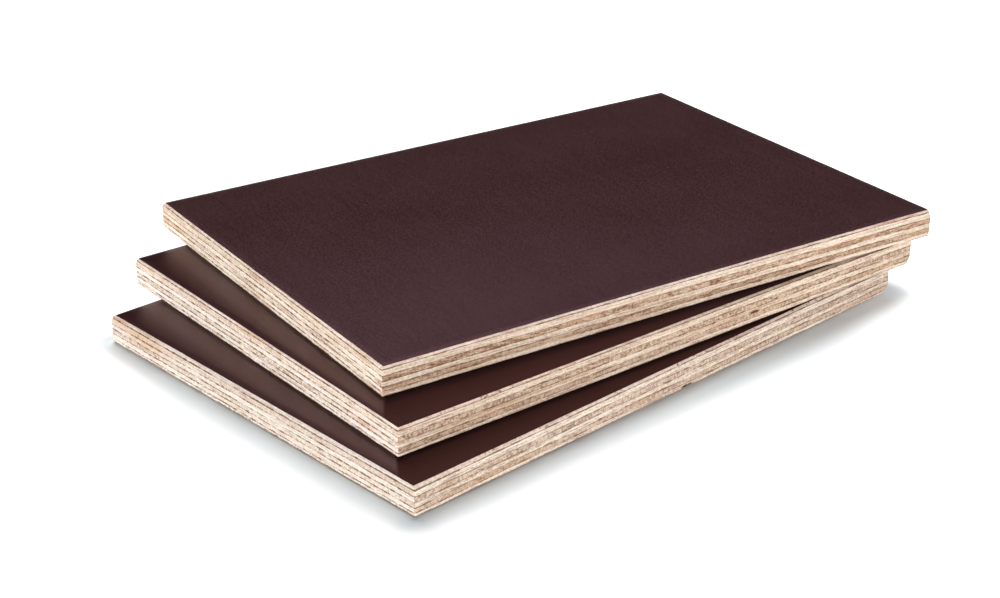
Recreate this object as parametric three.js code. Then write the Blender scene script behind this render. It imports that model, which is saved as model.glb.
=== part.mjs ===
// A stack of three cut panels of film-faced plywood, lying flat on one another
// and fanned out at one end.
//
// Each panel is seven veneers glued crosswise, with a thin phenolic film bonded to
// both faces.  The sawn edges are left bare, so every ply shows, and the arrises are
// sanded back: the shallow bevel takes off the rim of the film and bares the face
// veneer under it.
//
// Millimetres, +Z up.  The origin is the centre of the lowest panel's underside, and
// that panel's long side lies along X.

import * as THREE from 'three';

// Driving dimensions of one panel.
const PANEL_LENGTH = 400;
const PANEL_WIDTH = 275;
const FILM_THICKNESS = 0.25;
const FACE_VENEER_THICKNESS = 0.75;
const LOWER_CORE_THICKNESS = 2.25;
const LOWER_CROSSBAND_THICKNESS = 3;
const CENTRE_VENEER_THICKNESS = 3.25;
const UPPER_CROSSBAND_THICKNESS = 3.25;
const UPPER_CORE_THICKNESS = 4.25;

// The bevel on the arrises: it runs this far in over the face, and is as deep as the
// face veneer is thick.
const ARRIS_WIDTH = 1.875;

// How the panels are fanned: each is moved by shift (X, Y) and turned clockwise, seen
// from above, by turn degrees, from the lowest panel's place.
const FAN = [
  { panel: 'bottom', shift: [0, 0], turn: 0 },
  { panel: 'middle', shift: [23.5, 9.5], turn: 4.85 },
  { panel: 'top', shift: [48.5, 20.25], turn: 9.95 },
];

// One finish for each kind of layer, with the grain's direction told by its name.
const FINISHES = {
  film: { color: '#452d2e', roughness: 0.38, metalness: 0 },
  faceVeneer: { color: '#d9bba6', roughness: 0.8, metalness: 0 },
  longVeneer: { color: '#eed9b8', roughness: 0.82, metalness: 0 },
  crossVeneer: { color: '#bd9a77', roughness: 0.88, metalness: 0 },
};

// The lay-up from the underside up.  insetBelow and insetAbove say how far a layer's
// lower and upper outlines stand in from the sawn edge.
const LAY_UP = [
  {
    name: 'lower_film',
    finish: 'film',
    thickness: FILM_THICKNESS,
    insetBelow: ARRIS_WIDTH,
    insetAbove: ARRIS_WIDTH,
  },
  {
    name: 'lower_face_veneer',
    finish: 'faceVeneer',
    thickness: FACE_VENEER_THICKNESS,
    insetBelow: ARRIS_WIDTH,
    insetAbove: 0,
  },
  {
    name: 'lower_core_veneer',
    finish: 'longVeneer',
    thickness: LOWER_CORE_THICKNESS,
    insetBelow: 0,
    insetAbove: 0,
  },
  {
    name: 'lower_crossband',
    finish: 'crossVeneer',
    thickness: LOWER_CROSSBAND_THICKNESS,
    insetBelow: 0,
    insetAbove: 0,
  },
  {
    name: 'centre_veneer',
    finish: 'longVeneer',
    thickness: CENTRE_VENEER_THICKNESS,
    insetBelow: 0,
    insetAbove: 0,
  },
  {
    name: 'upper_crossband',
    finish: 'crossVeneer',
    thickness: UPPER_CROSSBAND_THICKNESS,
    insetBelow: 0,
    insetAbove: 0,
  },
  {
    name: 'upper_core_veneer',
    finish: 'longVeneer',
    thickness: UPPER_CORE_THICKNESS,
    insetBelow: 0,
    insetAbove: 0,
  },
  {
    name: 'upper_face_veneer',
    finish: 'faceVeneer',
    thickness: FACE_VENEER_THICKNESS,
    insetBelow: 0,
    insetAbove: ARRIS_WIDTH,
  },
  {
    name: 'upper_film',
    finish: 'film',
    thickness: FILM_THICKNESS,
    insetBelow: ARRIS_WIDTH,
    insetAbove: ARRIS_WIDTH,
  },
];

const PANEL_THICKNESS = LAY_UP.reduce((sum, layer) => sum + layer.thickness, 0);

// A flat layer of the panel, centred on its own origin, whose sides lean in where its
// lower or upper outline is inset from the sawn edge.
function layerGeometry({ thickness, insetBelow, insetAbove }) {
  const geometry = new THREE.BoxGeometry(PANEL_LENGTH, PANEL_WIDTH, thickness);
  const corners = geometry.getAttribute('position');
  for (let i = 0; i < corners.count; i += 1) {
    const inset = corners.getZ(i) > 0 ? insetAbove : insetBelow;
    corners.setX(i, corners.getX(i) - Math.sign(corners.getX(i)) * inset);
    corners.setY(i, corners.getY(i) - Math.sign(corners.getY(i)) * inset);
  }
  geometry.computeVertexNormals();
  return geometry;
}

// One layer as a mesh with a material of its own, standing on the height given.
function layerMesh(panel, layer, underside) {
  const material = new THREE.MeshStandardMaterial(FINISHES[layer.finish]);
  const mesh = new THREE.Mesh(layerGeometry(layer), material);
  mesh.name = `${panel}_panel_${layer.name}`;
  mesh.position.z = underside + layer.thickness / 2;
  return mesh;
}

// A whole panel: its layers piled up from its underside at z = 0.
function panelGroup(panel) {
  const group = new THREE.Group();
  let underside = 0;
  for (const layer of LAY_UP) {
    group.add(layerMesh(panel, layer, underside));
    underside += layer.thickness;
  }
  return group;
}

// The stack: every panel rests face to face on the one below.
function stackGroup() {
  const stack = new THREE.Group();
  FAN.forEach(({ panel, shift, turn }, level) => {
    const group = panelGroup(panel);
    group.position.set(shift[0], shift[1], level * PANEL_THICKNESS);
    group.rotation.z = -THREE.MathUtils.degToRad(turn);
    stack.add(group);
  });
  return stack;
}

export default stackGroup();
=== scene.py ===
"""Three film-faced plywood panels, stacked flat and fanned out at one end.

Every layer of the lay-up is its own finely modelled piece: veneers whose glue lines
wander and whose sawn edges are rough, and phenolic films that end at the sanded arris.
Lengths are metres, and values named in millimetres are turned into metres with MM.
"""

import logging
import math
from collections.abc import Callable
from dataclasses import dataclass
from enum import Enum

import bmesh
import bpy
from mathutils import Matrix, Vector, noise

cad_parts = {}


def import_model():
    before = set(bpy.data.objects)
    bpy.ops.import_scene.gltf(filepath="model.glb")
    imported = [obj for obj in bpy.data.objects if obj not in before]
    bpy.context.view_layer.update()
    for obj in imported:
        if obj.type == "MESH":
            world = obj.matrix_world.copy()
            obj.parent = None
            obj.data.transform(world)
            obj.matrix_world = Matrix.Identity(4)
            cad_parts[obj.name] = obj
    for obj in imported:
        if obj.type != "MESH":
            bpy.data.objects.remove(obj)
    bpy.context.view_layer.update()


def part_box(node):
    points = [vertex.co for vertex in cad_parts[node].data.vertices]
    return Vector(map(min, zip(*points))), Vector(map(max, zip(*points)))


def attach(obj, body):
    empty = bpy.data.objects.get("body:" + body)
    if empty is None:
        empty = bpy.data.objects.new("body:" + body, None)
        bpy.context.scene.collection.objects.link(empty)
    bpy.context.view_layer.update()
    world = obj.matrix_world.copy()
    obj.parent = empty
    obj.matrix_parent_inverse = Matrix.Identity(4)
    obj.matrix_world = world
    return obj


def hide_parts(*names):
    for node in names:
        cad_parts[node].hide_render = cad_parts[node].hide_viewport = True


LOG = logging.getLogger("plywood_stack")
MM = 0.001
BODY = "root"

SMOOTH_ANGLE = math.radians(40)

Colour = tuple[float, float, float, float]
Socket = bpy.types.NodeSocket
Sockets = bpy.types.bpy_prop_collection
Value = float | Socket

BLACK: Colour = (0.0, 0.0, 0.0, 1.0)
WHITE: Colour = (1.0, 1.0, 1.0, 1.0)


def srgb(red: int, green: int, blue: int) -> Colour:
    """Turns a display colour into the linear colour that shaders take.

    Args:
        red: Red channel, 0 to 255.
        green: Green channel, 0 to 255.
        blue: Blue channel, 0 to 255.

    Returns:
        Linear red, green and blue with an alpha of one.
    """
    channels = []
    for channel in (red, green, blue):
        share = channel / 255
        low = share / 12.92
        high = ((share + 0.055) / 1.055) ** 2.4
        channels.append(low if share <= 0.04045 else high)
    return (channels[0], channels[1], channels[2], 1.0)


class Grain(Enum):
    """Which way a veneer's grain runs in its panel."""

    ALONG = "along the panel"
    ACROSS = "across the panel"


class LayerKind(Enum):
    """What a layer of the lay-up is made of. The value is the record's slot."""

    FILM = "phenolic_film"
    FACE = "face_veneer"
    LONG = "long_grain_veneer"
    CROSS = "cross_grain_veneer"


@dataclass(frozen=True)
class Layer:
    """One layer of the lay-up.

    Attributes:
        name: The layer's name in every panel.
        kind: What it is made of.
        tint: How far its colour leans from the palest of its kind (0) to the darkest (1).
        check_spacing: How far apart the lathe checks in its end grain are, in mm.
        lean: How the checks lean at the middle of the edge, in mm along for each mm up.
        lean_change: How much that grows for each mm along the edge.
    """

    name: str
    kind: LayerKind
    tint: float = 0.0
    check_spacing: float = 16.0
    lean: float = 0.5
    lean_change: float = 0.0

    @property
    def grain(self) -> Grain:
        """The direction of the layer's grain."""
        return Grain.ALONG if self.kind is LayerKind.LONG else Grain.ACROSS


LAY_UP = (
    Layer("lower_film", LayerKind.FILM),
    Layer("lower_face_veneer", LayerKind.FACE),
    Layer("lower_core_veneer", LayerKind.LONG, tint=0.05, check_spacing=19.0, lean=-0.4),
    Layer("lower_crossband", LayerKind.CROSS, tint=0.75, check_spacing=13.0, lean=-3.8),
    Layer("centre_veneer", LayerKind.LONG, tint=0.35, check_spacing=12.0, lean=0.5),
    Layer(
        "upper_crossband",
        LayerKind.CROSS,
        tint=0.4,
        check_spacing=13.0,
        lean=0.2,
        lean_change=-0.0125,
    ),
    Layer("upper_core_veneer", LayerKind.LONG, tint=0.8, check_spacing=17.0, lean=-0.5),
    Layer("upper_face_veneer", LayerKind.FACE, check_spacing=24.0),
    Layer("upper_film", LayerKind.FILM),
)


class Side(Enum):
    """The sawn sides of a panel, in turn round it: the axis and the way each faces."""

    LEFT_END = (0, -1)
    FRONT = (1, -1)
    RIGHT_END = (0, 1)
    BACK = (1, 1)

    def share_along(self, x: float, y: float, half: tuple[float, float]) -> float:
        """How far along the side a point is, going on round the panel.

        Args:
            x: The point's place along the panel.
            y: Its place across the panel.
            half: Half the panel's length and half its width.

        Returns:
            0 at the side's start and 1 at its end.
        """
        axis, way = self.value
        if axis == 0:
            return 0.5 + way * y / (2 * half[1])
        return 0.5 - way * x / (2 * half[0])

    @classmethod
    def of_point(cls, point: Vector, half: tuple[float, float], reach: float) -> list["Side"]:
        """Lists the sides that a point lies on.

        Args:
            point: The point, from the panel's middle.
            half: Half the panel's length and half its width.
            reach: How near a side the point must be.

        Returns:
            No side, one side or the two that meet at a corner.
        """
        touched = []
        for side in cls:
            axis, way = side.value
            if point[axis] * way > half[axis] - reach:
                touched.append(side)
        return touched


@dataclass(frozen=True)
class Run:
    """A measure in millimetres that changes smoothly along a side.

    Attributes:
        start: The measure where the side starts.
        middle: The measure halfway along it.
        end: The measure where it ends.
    """

    start: float
    middle: float
    end: float

    def at(self, share: float) -> float:
        """Reads the measure at a place along the side.

        Args:
            share: 0 at the side's start and 1 at its end.

        Returns:
            The measure there.
        """
        from_start = self.start * (1 - share) * (1 - 2 * share)
        from_middle = self.middle * 4 * share * (1 - share)
        from_end = self.end * share * (2 * share - 1)
        return from_start + from_middle + from_end


@dataclass(frozen=True)
class Girdle:
    """A measure that changes round a panel, and evens out at the far corner.

    Attributes:
        left_end: The measure along the left end.
        front: The measure along the front.
        far: The measure at the far corner.
    """

    left_end: Run
    front: Run
    far: float = 0.0

    def run(self, side: Side) -> Run:
        """Picks the measure along one side.

        Args:
            side: The side.

        Returns:
            How the measure runs along it.
        """
        if side is Side.LEFT_END:
            return self.left_end
        if side is Side.FRONT:
            return self.front
        if side is Side.RIGHT_END:
            return Run(self.front.end, (self.front.end + self.far) / 2, self.far)
        return Run(self.far, (self.far + self.left_end.start) / 2, self.left_end.start)


class FlawKind(Enum):
    """What a flaw in a sawn edge is. The value names the attribute that paints it."""

    VOID = "void_share"
    STAIN = "stain_share"
    CRAZE = "craze_share"


@dataclass(frozen=True)
class Flaw:
    """A void, a patch of stained wood or a stretch of opened checks in a sawn edge, in mm.

    Attributes:
        side: The side that it is in.
        along: Its middle, from the side's start.
        height: Its middle, above the panel's underside.
        length: How long it is.
        tall: How tall it is.
        depth: How deep it goes in.
        kind: What it is.
    """

    # The share at its middle, before that is held to 1, and how fast it falls outward.
    PEAK = 1.7
    FALL = 1.2

    side: Side
    along: float
    height: float
    length: float
    tall: float
    depth: float = 0.0
    kind: FlawKind = FlawKind.VOID

    def share_at(self, along: float, height: float) -> float:
        """How much of the flaw is at a place on its side.

        Args:
            along: The place, from the side's start.
            height: Its height above the panel's underside.

        Returns:
            The share, from 0 to 1.
        """
        across = (along - self.along) * 2 / self.length
        upward = (height - self.height) * 2 / self.tall
        share = self.PEAK - self.FALL * math.hypot(across, upward)
        return min(max(share, 0.0), 1.0)


def stain(side: Side, along: float, height: float, length: float, tall: float) -> Flaw:
    """Makes a patch of stained wood."""
    return Flaw(side, along, height, length, tall, kind=FlawKind.STAIN)


CRAZE_TALL = 6.0


def craze(side: Side, along: float, height: float, length: float) -> Flaw:
    """Makes a stretch of one veneer where the lathe checks have opened."""
    return Flaw(side, along, height, length, CRAZE_TALL, kind=FlawKind.CRAZE)


@dataclass(frozen=True)
class Knock:
    """A corner of a panel that has been knocked back to a chamfer.

    Attributes:
        ways: Which corner it is, as the way it points along X and along Y.
        height: The height where it is widest, in mm above the underside.
        tall: How far it reaches above and below that, in mm.
        width: How far along each side it runs, in mm.
    """

    ways: tuple[int, int]
    height: float
    tall: float
    width: float

    def depth_at(self, point: Vector, half: tuple[float, float], height: float) -> float:
        """How far a vertex of the edge moves in, both along X and along Y.

        Args:
            point: The vertex, from the panel's middle.
            half: Half the panel's length and half its width there.
            height: Its height above the panel's underside, in mm.

        Returns:
            The move, in metres.
        """
        away = max(side - way * at for side, way, at in zip(half, self.ways, point))
        width = self.width * MM * max(0.0, 1 - abs(height - self.height) / self.tall)
        return max(0.0, width - away) / 2


# --- Places and outlines, read from the frame -------------------------------------------


@dataclass(frozen=True)
class PanelPlace:
    """Where a panel lies.

    Attributes:
        centre_x: The middle of its plan along X.
        centre_y: The middle of its plan along Y.
        turn: How far its long side is turned from X, in radians.
        underside: The height of its underside.
        half_length: Half its length.
        half_width: Half its width.
    """

    centre_x: float
    centre_y: float
    turn: float
    underside: float
    half_length: float
    half_width: float

    @classmethod
    def of_panel(cls, panel: str) -> "PanelPlace":
        """Reads a panel's place from the corners of its centre veneer.

        Args:
            panel: The panel's name.

        Returns:
            The panel's place.
        """
        corners = plan_corners(f"{panel}_panel_centre_veneer")
        start = corners[0]
        by_distance = sorted(corners[1:], key=lambda corner: (corner - start).length)
        short_side = by_distance[0] - start
        long_side = by_distance[1] - start
        if long_side.x < 0:
            long_side = -long_side
        middle = sum(corners, Vector((0, 0))) / len(corners)
        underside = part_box(f"{panel}_panel_lower_film")[0].z
        return cls(
            centre_x=middle.x,
            centre_y=middle.y,
            turn=math.atan2(long_side.y, long_side.x),
            underside=underside,
            half_length=long_side.length / 2,
            half_width=short_side.length / 2,
        )


SAME_CORNER = 0.1 * MM


def plan_corners(node: str) -> list[Vector]:
    """Finds the four corners, seen from above, of a layer's lower outline.

    Args:
        node: The layer's CAD node.

    Returns:
        The corners in plan.
    """
    low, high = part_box(node)
    middle = (low.z + high.z) / 2
    corners: dict[tuple[int, int], Vector] = {}
    for vertex in bpy.data.objects[node].data.vertices:
        if vertex.co.z < middle:
            key = (round(vertex.co.x / SAME_CORNER), round(vertex.co.y / SAME_CORNER))
            corners[key] = Vector((vertex.co.x, vertex.co.y))
    return list(corners.values())


@dataclass(frozen=True)
class LayerOutline:
    """A layer's heights and outlines.

    Attributes:
        low: The height of its lower face.
        high: The height of its upper face.
        half_low: Half the length and half the width of its lower face.
        half_high: The same for its upper face.
    """

    low: float
    high: float
    half_low: tuple[float, float]
    half_high: tuple[float, float]

    @classmethod
    def of_node(cls, node: str, place: PanelPlace) -> "LayerOutline":
        """Measures a CAD node in its panel's own directions.

        Args:
            node: The layer's CAD node.
            place: Its panel's place.

        Returns:
            The layer's heights and outlines.
        """
        low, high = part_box(node)
        middle = (low.z + high.z) / 2
        unturn = Matrix.Rotation(-place.turn, 2)
        below = [0.0, 0.0]
        above = [0.0, 0.0]
        for vertex in bpy.data.objects[node].data.vertices:
            flat = Vector((vertex.co.x - place.centre_x, vertex.co.y - place.centre_y))
            local = unturn @ flat
            half = above if vertex.co.z > middle else below
            half[0] = max(half[0], abs(local.x))
            half[1] = max(half[1], abs(local.y))
        return cls(low.z, high.z, (below[0], below[1]), (above[0], above[1]))

    @property
    def thickness(self) -> float:
        """The layer's thickness."""
        return self.high - self.low

    def half_at(self, share: float) -> tuple[float, float]:
        """Half the outline's sides at a share of the thickness.

        Args:
            share: 0 at the lower face and 1 at the upper one.

        Returns:
            Half the length and half the width there.
        """
        half_x = self.half_low[0] + (self.half_high[0] - self.half_low[0]) * share
        half_y = self.half_low[1] + (self.half_high[1] - self.half_low[1]) * share
        return half_x, half_y


# --- Modelling with the operators -------------------------------------------------------


def deselect_all() -> None:
    """Leaves edit mode and deselects every object."""
    if bpy.context.object is not None and bpy.context.object.mode != "OBJECT":
        bpy.ops.object.mode_set(mode="OBJECT")
    bpy.ops.object.select_all(action="DESELECT")


def select_edges(piece: bpy.types.Object, wanted: Callable[[bmesh.types.BMEdge], bool]) -> None:
    """Selects, in edit mode, only the edges that a test accepts.

    Args:
        piece: The piece that is being edited.
        wanted: Says whether an edge is wanted.
    """
    bpy.ops.mesh.select_all(action="DESELECT")
    bpy.ops.mesh.select_mode(type="EDGE")
    shape = bmesh.from_edit_mesh(piece.data)
    for edge in shape.edges:
        edge.select_set(wanted(edge))
    bmesh.update_edit_mesh(piece.data)


def resize_in_plan(share_x: float, share_y: float) -> None:
    """Scales what is selected towards the panel's upright middle line."""
    bpy.ops.transform.resize(value=(share_x, share_y, 1), center_override=(0, 0, 0))


def apply_modifiers(piece: bpy.types.Object) -> None:
    """Applies every modifier of a piece, in order.

    Args:
        piece: The piece.
    """
    deselect_all()
    piece.select_set(True)
    bpy.context.view_layer.objects.active = piece
    for modifier in list(piece.modifiers):
        bpy.ops.object.modifier_apply(modifier=modifier.name)


def shift(piece: bpy.types.Object, direction: str, amounts: list[float]) -> None:
    """Moves each vertex of a piece by an amount of its own, with weighted displacements.

    Args:
        piece: The piece to shape.
        direction: X, Y, Z or NORMAL.
        amounts: How far each vertex moves, in the order of the vertices.
    """
    for sign in (1, -1):
        farthest = max(sign * amount for amount in amounts)
        if farthest <= 0:
            continue
        group = piece.vertex_groups.new(name="shift")
        for index, amount in enumerate(amounts):
            if sign * amount > 0:
                group.add([index], sign * amount / farthest, "REPLACE")
        modifier = piece.modifiers.new("shift", "DISPLACE")
        modifier.vertex_group = group.name
        modifier.direction = direction
        modifier.strength = sign * farthest
        modifier.mid_level = 0.0
        apply_modifiers(piece)
        piece.vertex_groups.clear()


def set_in_place(piece: bpy.types.Object, place: PanelPlace) -> None:
    """Turns a finished piece to its panel's place and applies that to its mesh.

    Args:
        piece: The piece, modelled about the panel's middle.
        place: The panel's place.
    """
    deselect_all()
    piece.select_set(True)
    bpy.context.view_layer.objects.active = piece
    piece.rotation_euler.z = place.turn
    piece.location = (place.centre_x, place.centre_y, 0)
    bpy.ops.object.transform_apply(location=True, rotation=True, scale=True)


@dataclass(frozen=True)
class Unevenness:
    """Soft noise in space.

    Attributes:
        stretch: The size of its features along X, Y and Z, in mm.
        depth: How far it strays either way, in mm.
        seed: What sets it apart from other noise.
    """

    # How far one step of the seed moves the noise along X, Y and Z, in features.
    SEED_STEP = (7.31, 3.17, 5.53)

    stretch: tuple[float, float, float]
    depth: float
    seed: float

    def at(self, point: Vector) -> float:
        """Reads the noise.

        Args:
            point: Where it is read.

        Returns:
            The noise there, in metres.
        """
        scaled = [value / MM / size for value, size in zip(point, self.stretch)]
        offset = Vector([self.seed * step for step in self.SEED_STEP])
        return noise.noise(Vector(scaled) + offset) * self.depth * MM


@dataclass(frozen=True)
class GlueLine:
    """How the joint between two veneers strays from a true plane.

    Attributes:
        sag: How far it lies off true round the panel.
        seed: What sets its waves apart from others'.
        amount: How much glue shows along it.
        broken: How broken that glue is, from 0 to 1.
        wander: How much its waves are scaled.
        slow_wave: How long its slow waves are, in mm.
        slow_rise: How high they are, in mm.
        quick_wave: How long its quick waves are, in mm.
        quick_rise: How high they are, in mm.
    """

    # What sets the quick waves apart from the slow ones.
    QUICK_SEED = 40

    sag: Girdle
    seed: float
    amount: float = 1.45
    broken: float = 1.0
    wander: float = 1.0
    slow_wave: float = 60.0
    slow_rise: float = 0.3
    quick_wave: float = 9.0
    quick_rise: float = 0.14

    def rise_at(self, point: Vector, side: Side, share: float) -> float:
        """How far the joint lies above its true height.

        Args:
            point: A point of the joint.
            side: The side that it lies on.
            share: How far along the side it is, from 0 to 1.

        Returns:
            The height, in metres.
        """
        slow = Unevenness((self.slow_wave,) * 3, self.slow_rise, self.seed)
        quick = Unevenness((self.quick_wave,) * 3, self.quick_rise, self.seed + self.QUICK_SEED)
        waves = (slow.at(point) + quick.at(point)) * self.wander
        return self.sag.run(side).at(share) * MM + waves


# --- Node graphs ------------------------------------------------------------------------


class Graph:
    """Adds nodes to one node tree and wires them."""

    def __init__(self, tree: bpy.types.NodeTree) -> None:
        """Takes the tree to build in."""
        self.tree = tree

    def node(self, kind: str, *values: object, **settings: object) -> bpy.types.Node:
        """Adds a node.

        Args:
            kind: The node's type, without its ShaderNode prefix.
            *values: What its first inputs take, as plain values or sockets.
            **settings: Properties of the node.

        Returns:
            The new node.
        """
        made = self.tree.nodes.new("ShaderNode" + kind)
        for name, value in settings.items():
            setattr(made, name, value)
        for socket, value in zip(made.inputs, values):
            self.feed(socket, value)
        return made

    def feed(self, target: Socket, value: object) -> None:
        """Links a socket into an input, or sets the input to a plain value.

        Args:
            target: The input.
            value: A socket or a plain value.
        """
        if isinstance(value, bpy.types.NodeSocket):
            self.tree.links.new(value, target)
        else:
            target.default_value = value

    def math(self, operation: str, *values: Value, clamp: bool = False) -> Socket:
        """Adds a Math node, whose result may be held between 0 and 1."""
        return self.node("Math", *values, operation=operation, use_clamp=clamp).outputs[0]

    def step(self, value: Value, low: Value, high: Value) -> Socket:
        """Rises smoothly from 0 at low to 1 at high, and falls where low is the greater."""
        made = self.node("MapRange", value, low, high, interpolation_type="SMOOTHSTEP")
        return made.outputs["Result"]

    def mix(self, share: Value, first: object, second: object, blend: str = "MIX") -> Socket:
        """Mixes two colours.

        Args:
            share: How much of the second, 0 to 1.
            first: A colour or a socket.
            second: A colour or a socket.
            blend: The blend type.

        Returns:
            The mixed colour.
        """
        made = self.node("Mix", data_type="RGBA", blend_type=blend)
        self.feed(made.inputs["Factor"], share)
        self.feed(made.inputs[6], first)
        self.feed(made.inputs[7], second)
        return made.outputs[2]

    def noise(
        self, position: Socket, seed: Value, detail: float = 2.0, roughness: float = 0.5
    ) -> Socket:
        """Adds noise, mostly 0.25 to 0.75, with features about one unit of position across."""
        made = self.node("TexNoise", position, seed, 1.0, detail, roughness, noise_dimensions="4D")
        return made.outputs["Fac"]

    def offset(self, value: Value, noise_value: Socket, amount: Value) -> Socket:
        """Adds an amount of noise to a value, after centring the noise on zero."""
        centred = self.math("SUBTRACT", noise_value, 0.5)
        return self.math("MULTIPLY_ADD", centred, amount, value)

    def layered(self, value: Value, *layers: tuple[Socket, Value]) -> Socket:
        """Adds several noises, each centred on zero, to a value.

        Args:
            value: The value.
            *layers: Each noise, about 0.5, and how much of it is added.

        Returns:
            The sum.
        """
        for noise_value, amount in layers:
            value = self.offset(value, noise_value, amount)
        return value

    def bump(self, shader: bpy.types.Node, height: Socket, strength: float, depth: float) -> None:
        """Gives a shader fine relief.

        Args:
            shader: The Principled shader.
            height: The relief, from 0 to 1.
            strength: How strongly it shows.
            depth: How deep it is, in mm.
        """
        made = self.node("Bump")
        made.inputs["Strength"].default_value = strength
        made.inputs["Distance"].default_value = depth * MM
        self.feed(made.inputs["Height"], height)
        self.feed(shader.inputs["Normal"], made.outputs["Normal"])

    def group(self, tree: bpy.types.NodeTree, **inputs: object) -> bpy.types.Node:
        """Places a shared group and feeds its inputs.

        Args:
            tree: The shared group.
            **inputs: Its inputs, by name.

        Returns:
            The group node.
        """
        made = self.node("Group", node_tree=tree)
        for name, value in inputs.items():
            self.feed(made.inputs[name], value)
        return made

    def stretched(self, position: Socket, x: float, y: float, z: float) -> Socket:
        """Divides a position in millimetres by the size of a feature along each axis."""
        return self.node("VectorMath", position, (x, y, z), operation="DIVIDE").outputs[0]

    def length(self, vector: Socket) -> Socket:
        """Measures a vector."""
        return self.node("VectorMath", vector, operation="LENGTH").outputs["Value"]

    def separate(self, vector: Socket) -> tuple[Socket, Socket, Socket]:
        """Splits a vector into its three numbers."""
        return tuple(self.node("SeparateXYZ", vector).outputs)

    def combine(self, x: Value, y: Value, z: Value) -> Socket:
        """Joins three numbers into a vector."""
        return self.node("CombineXYZ", x, y, z).outputs[0]


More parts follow.
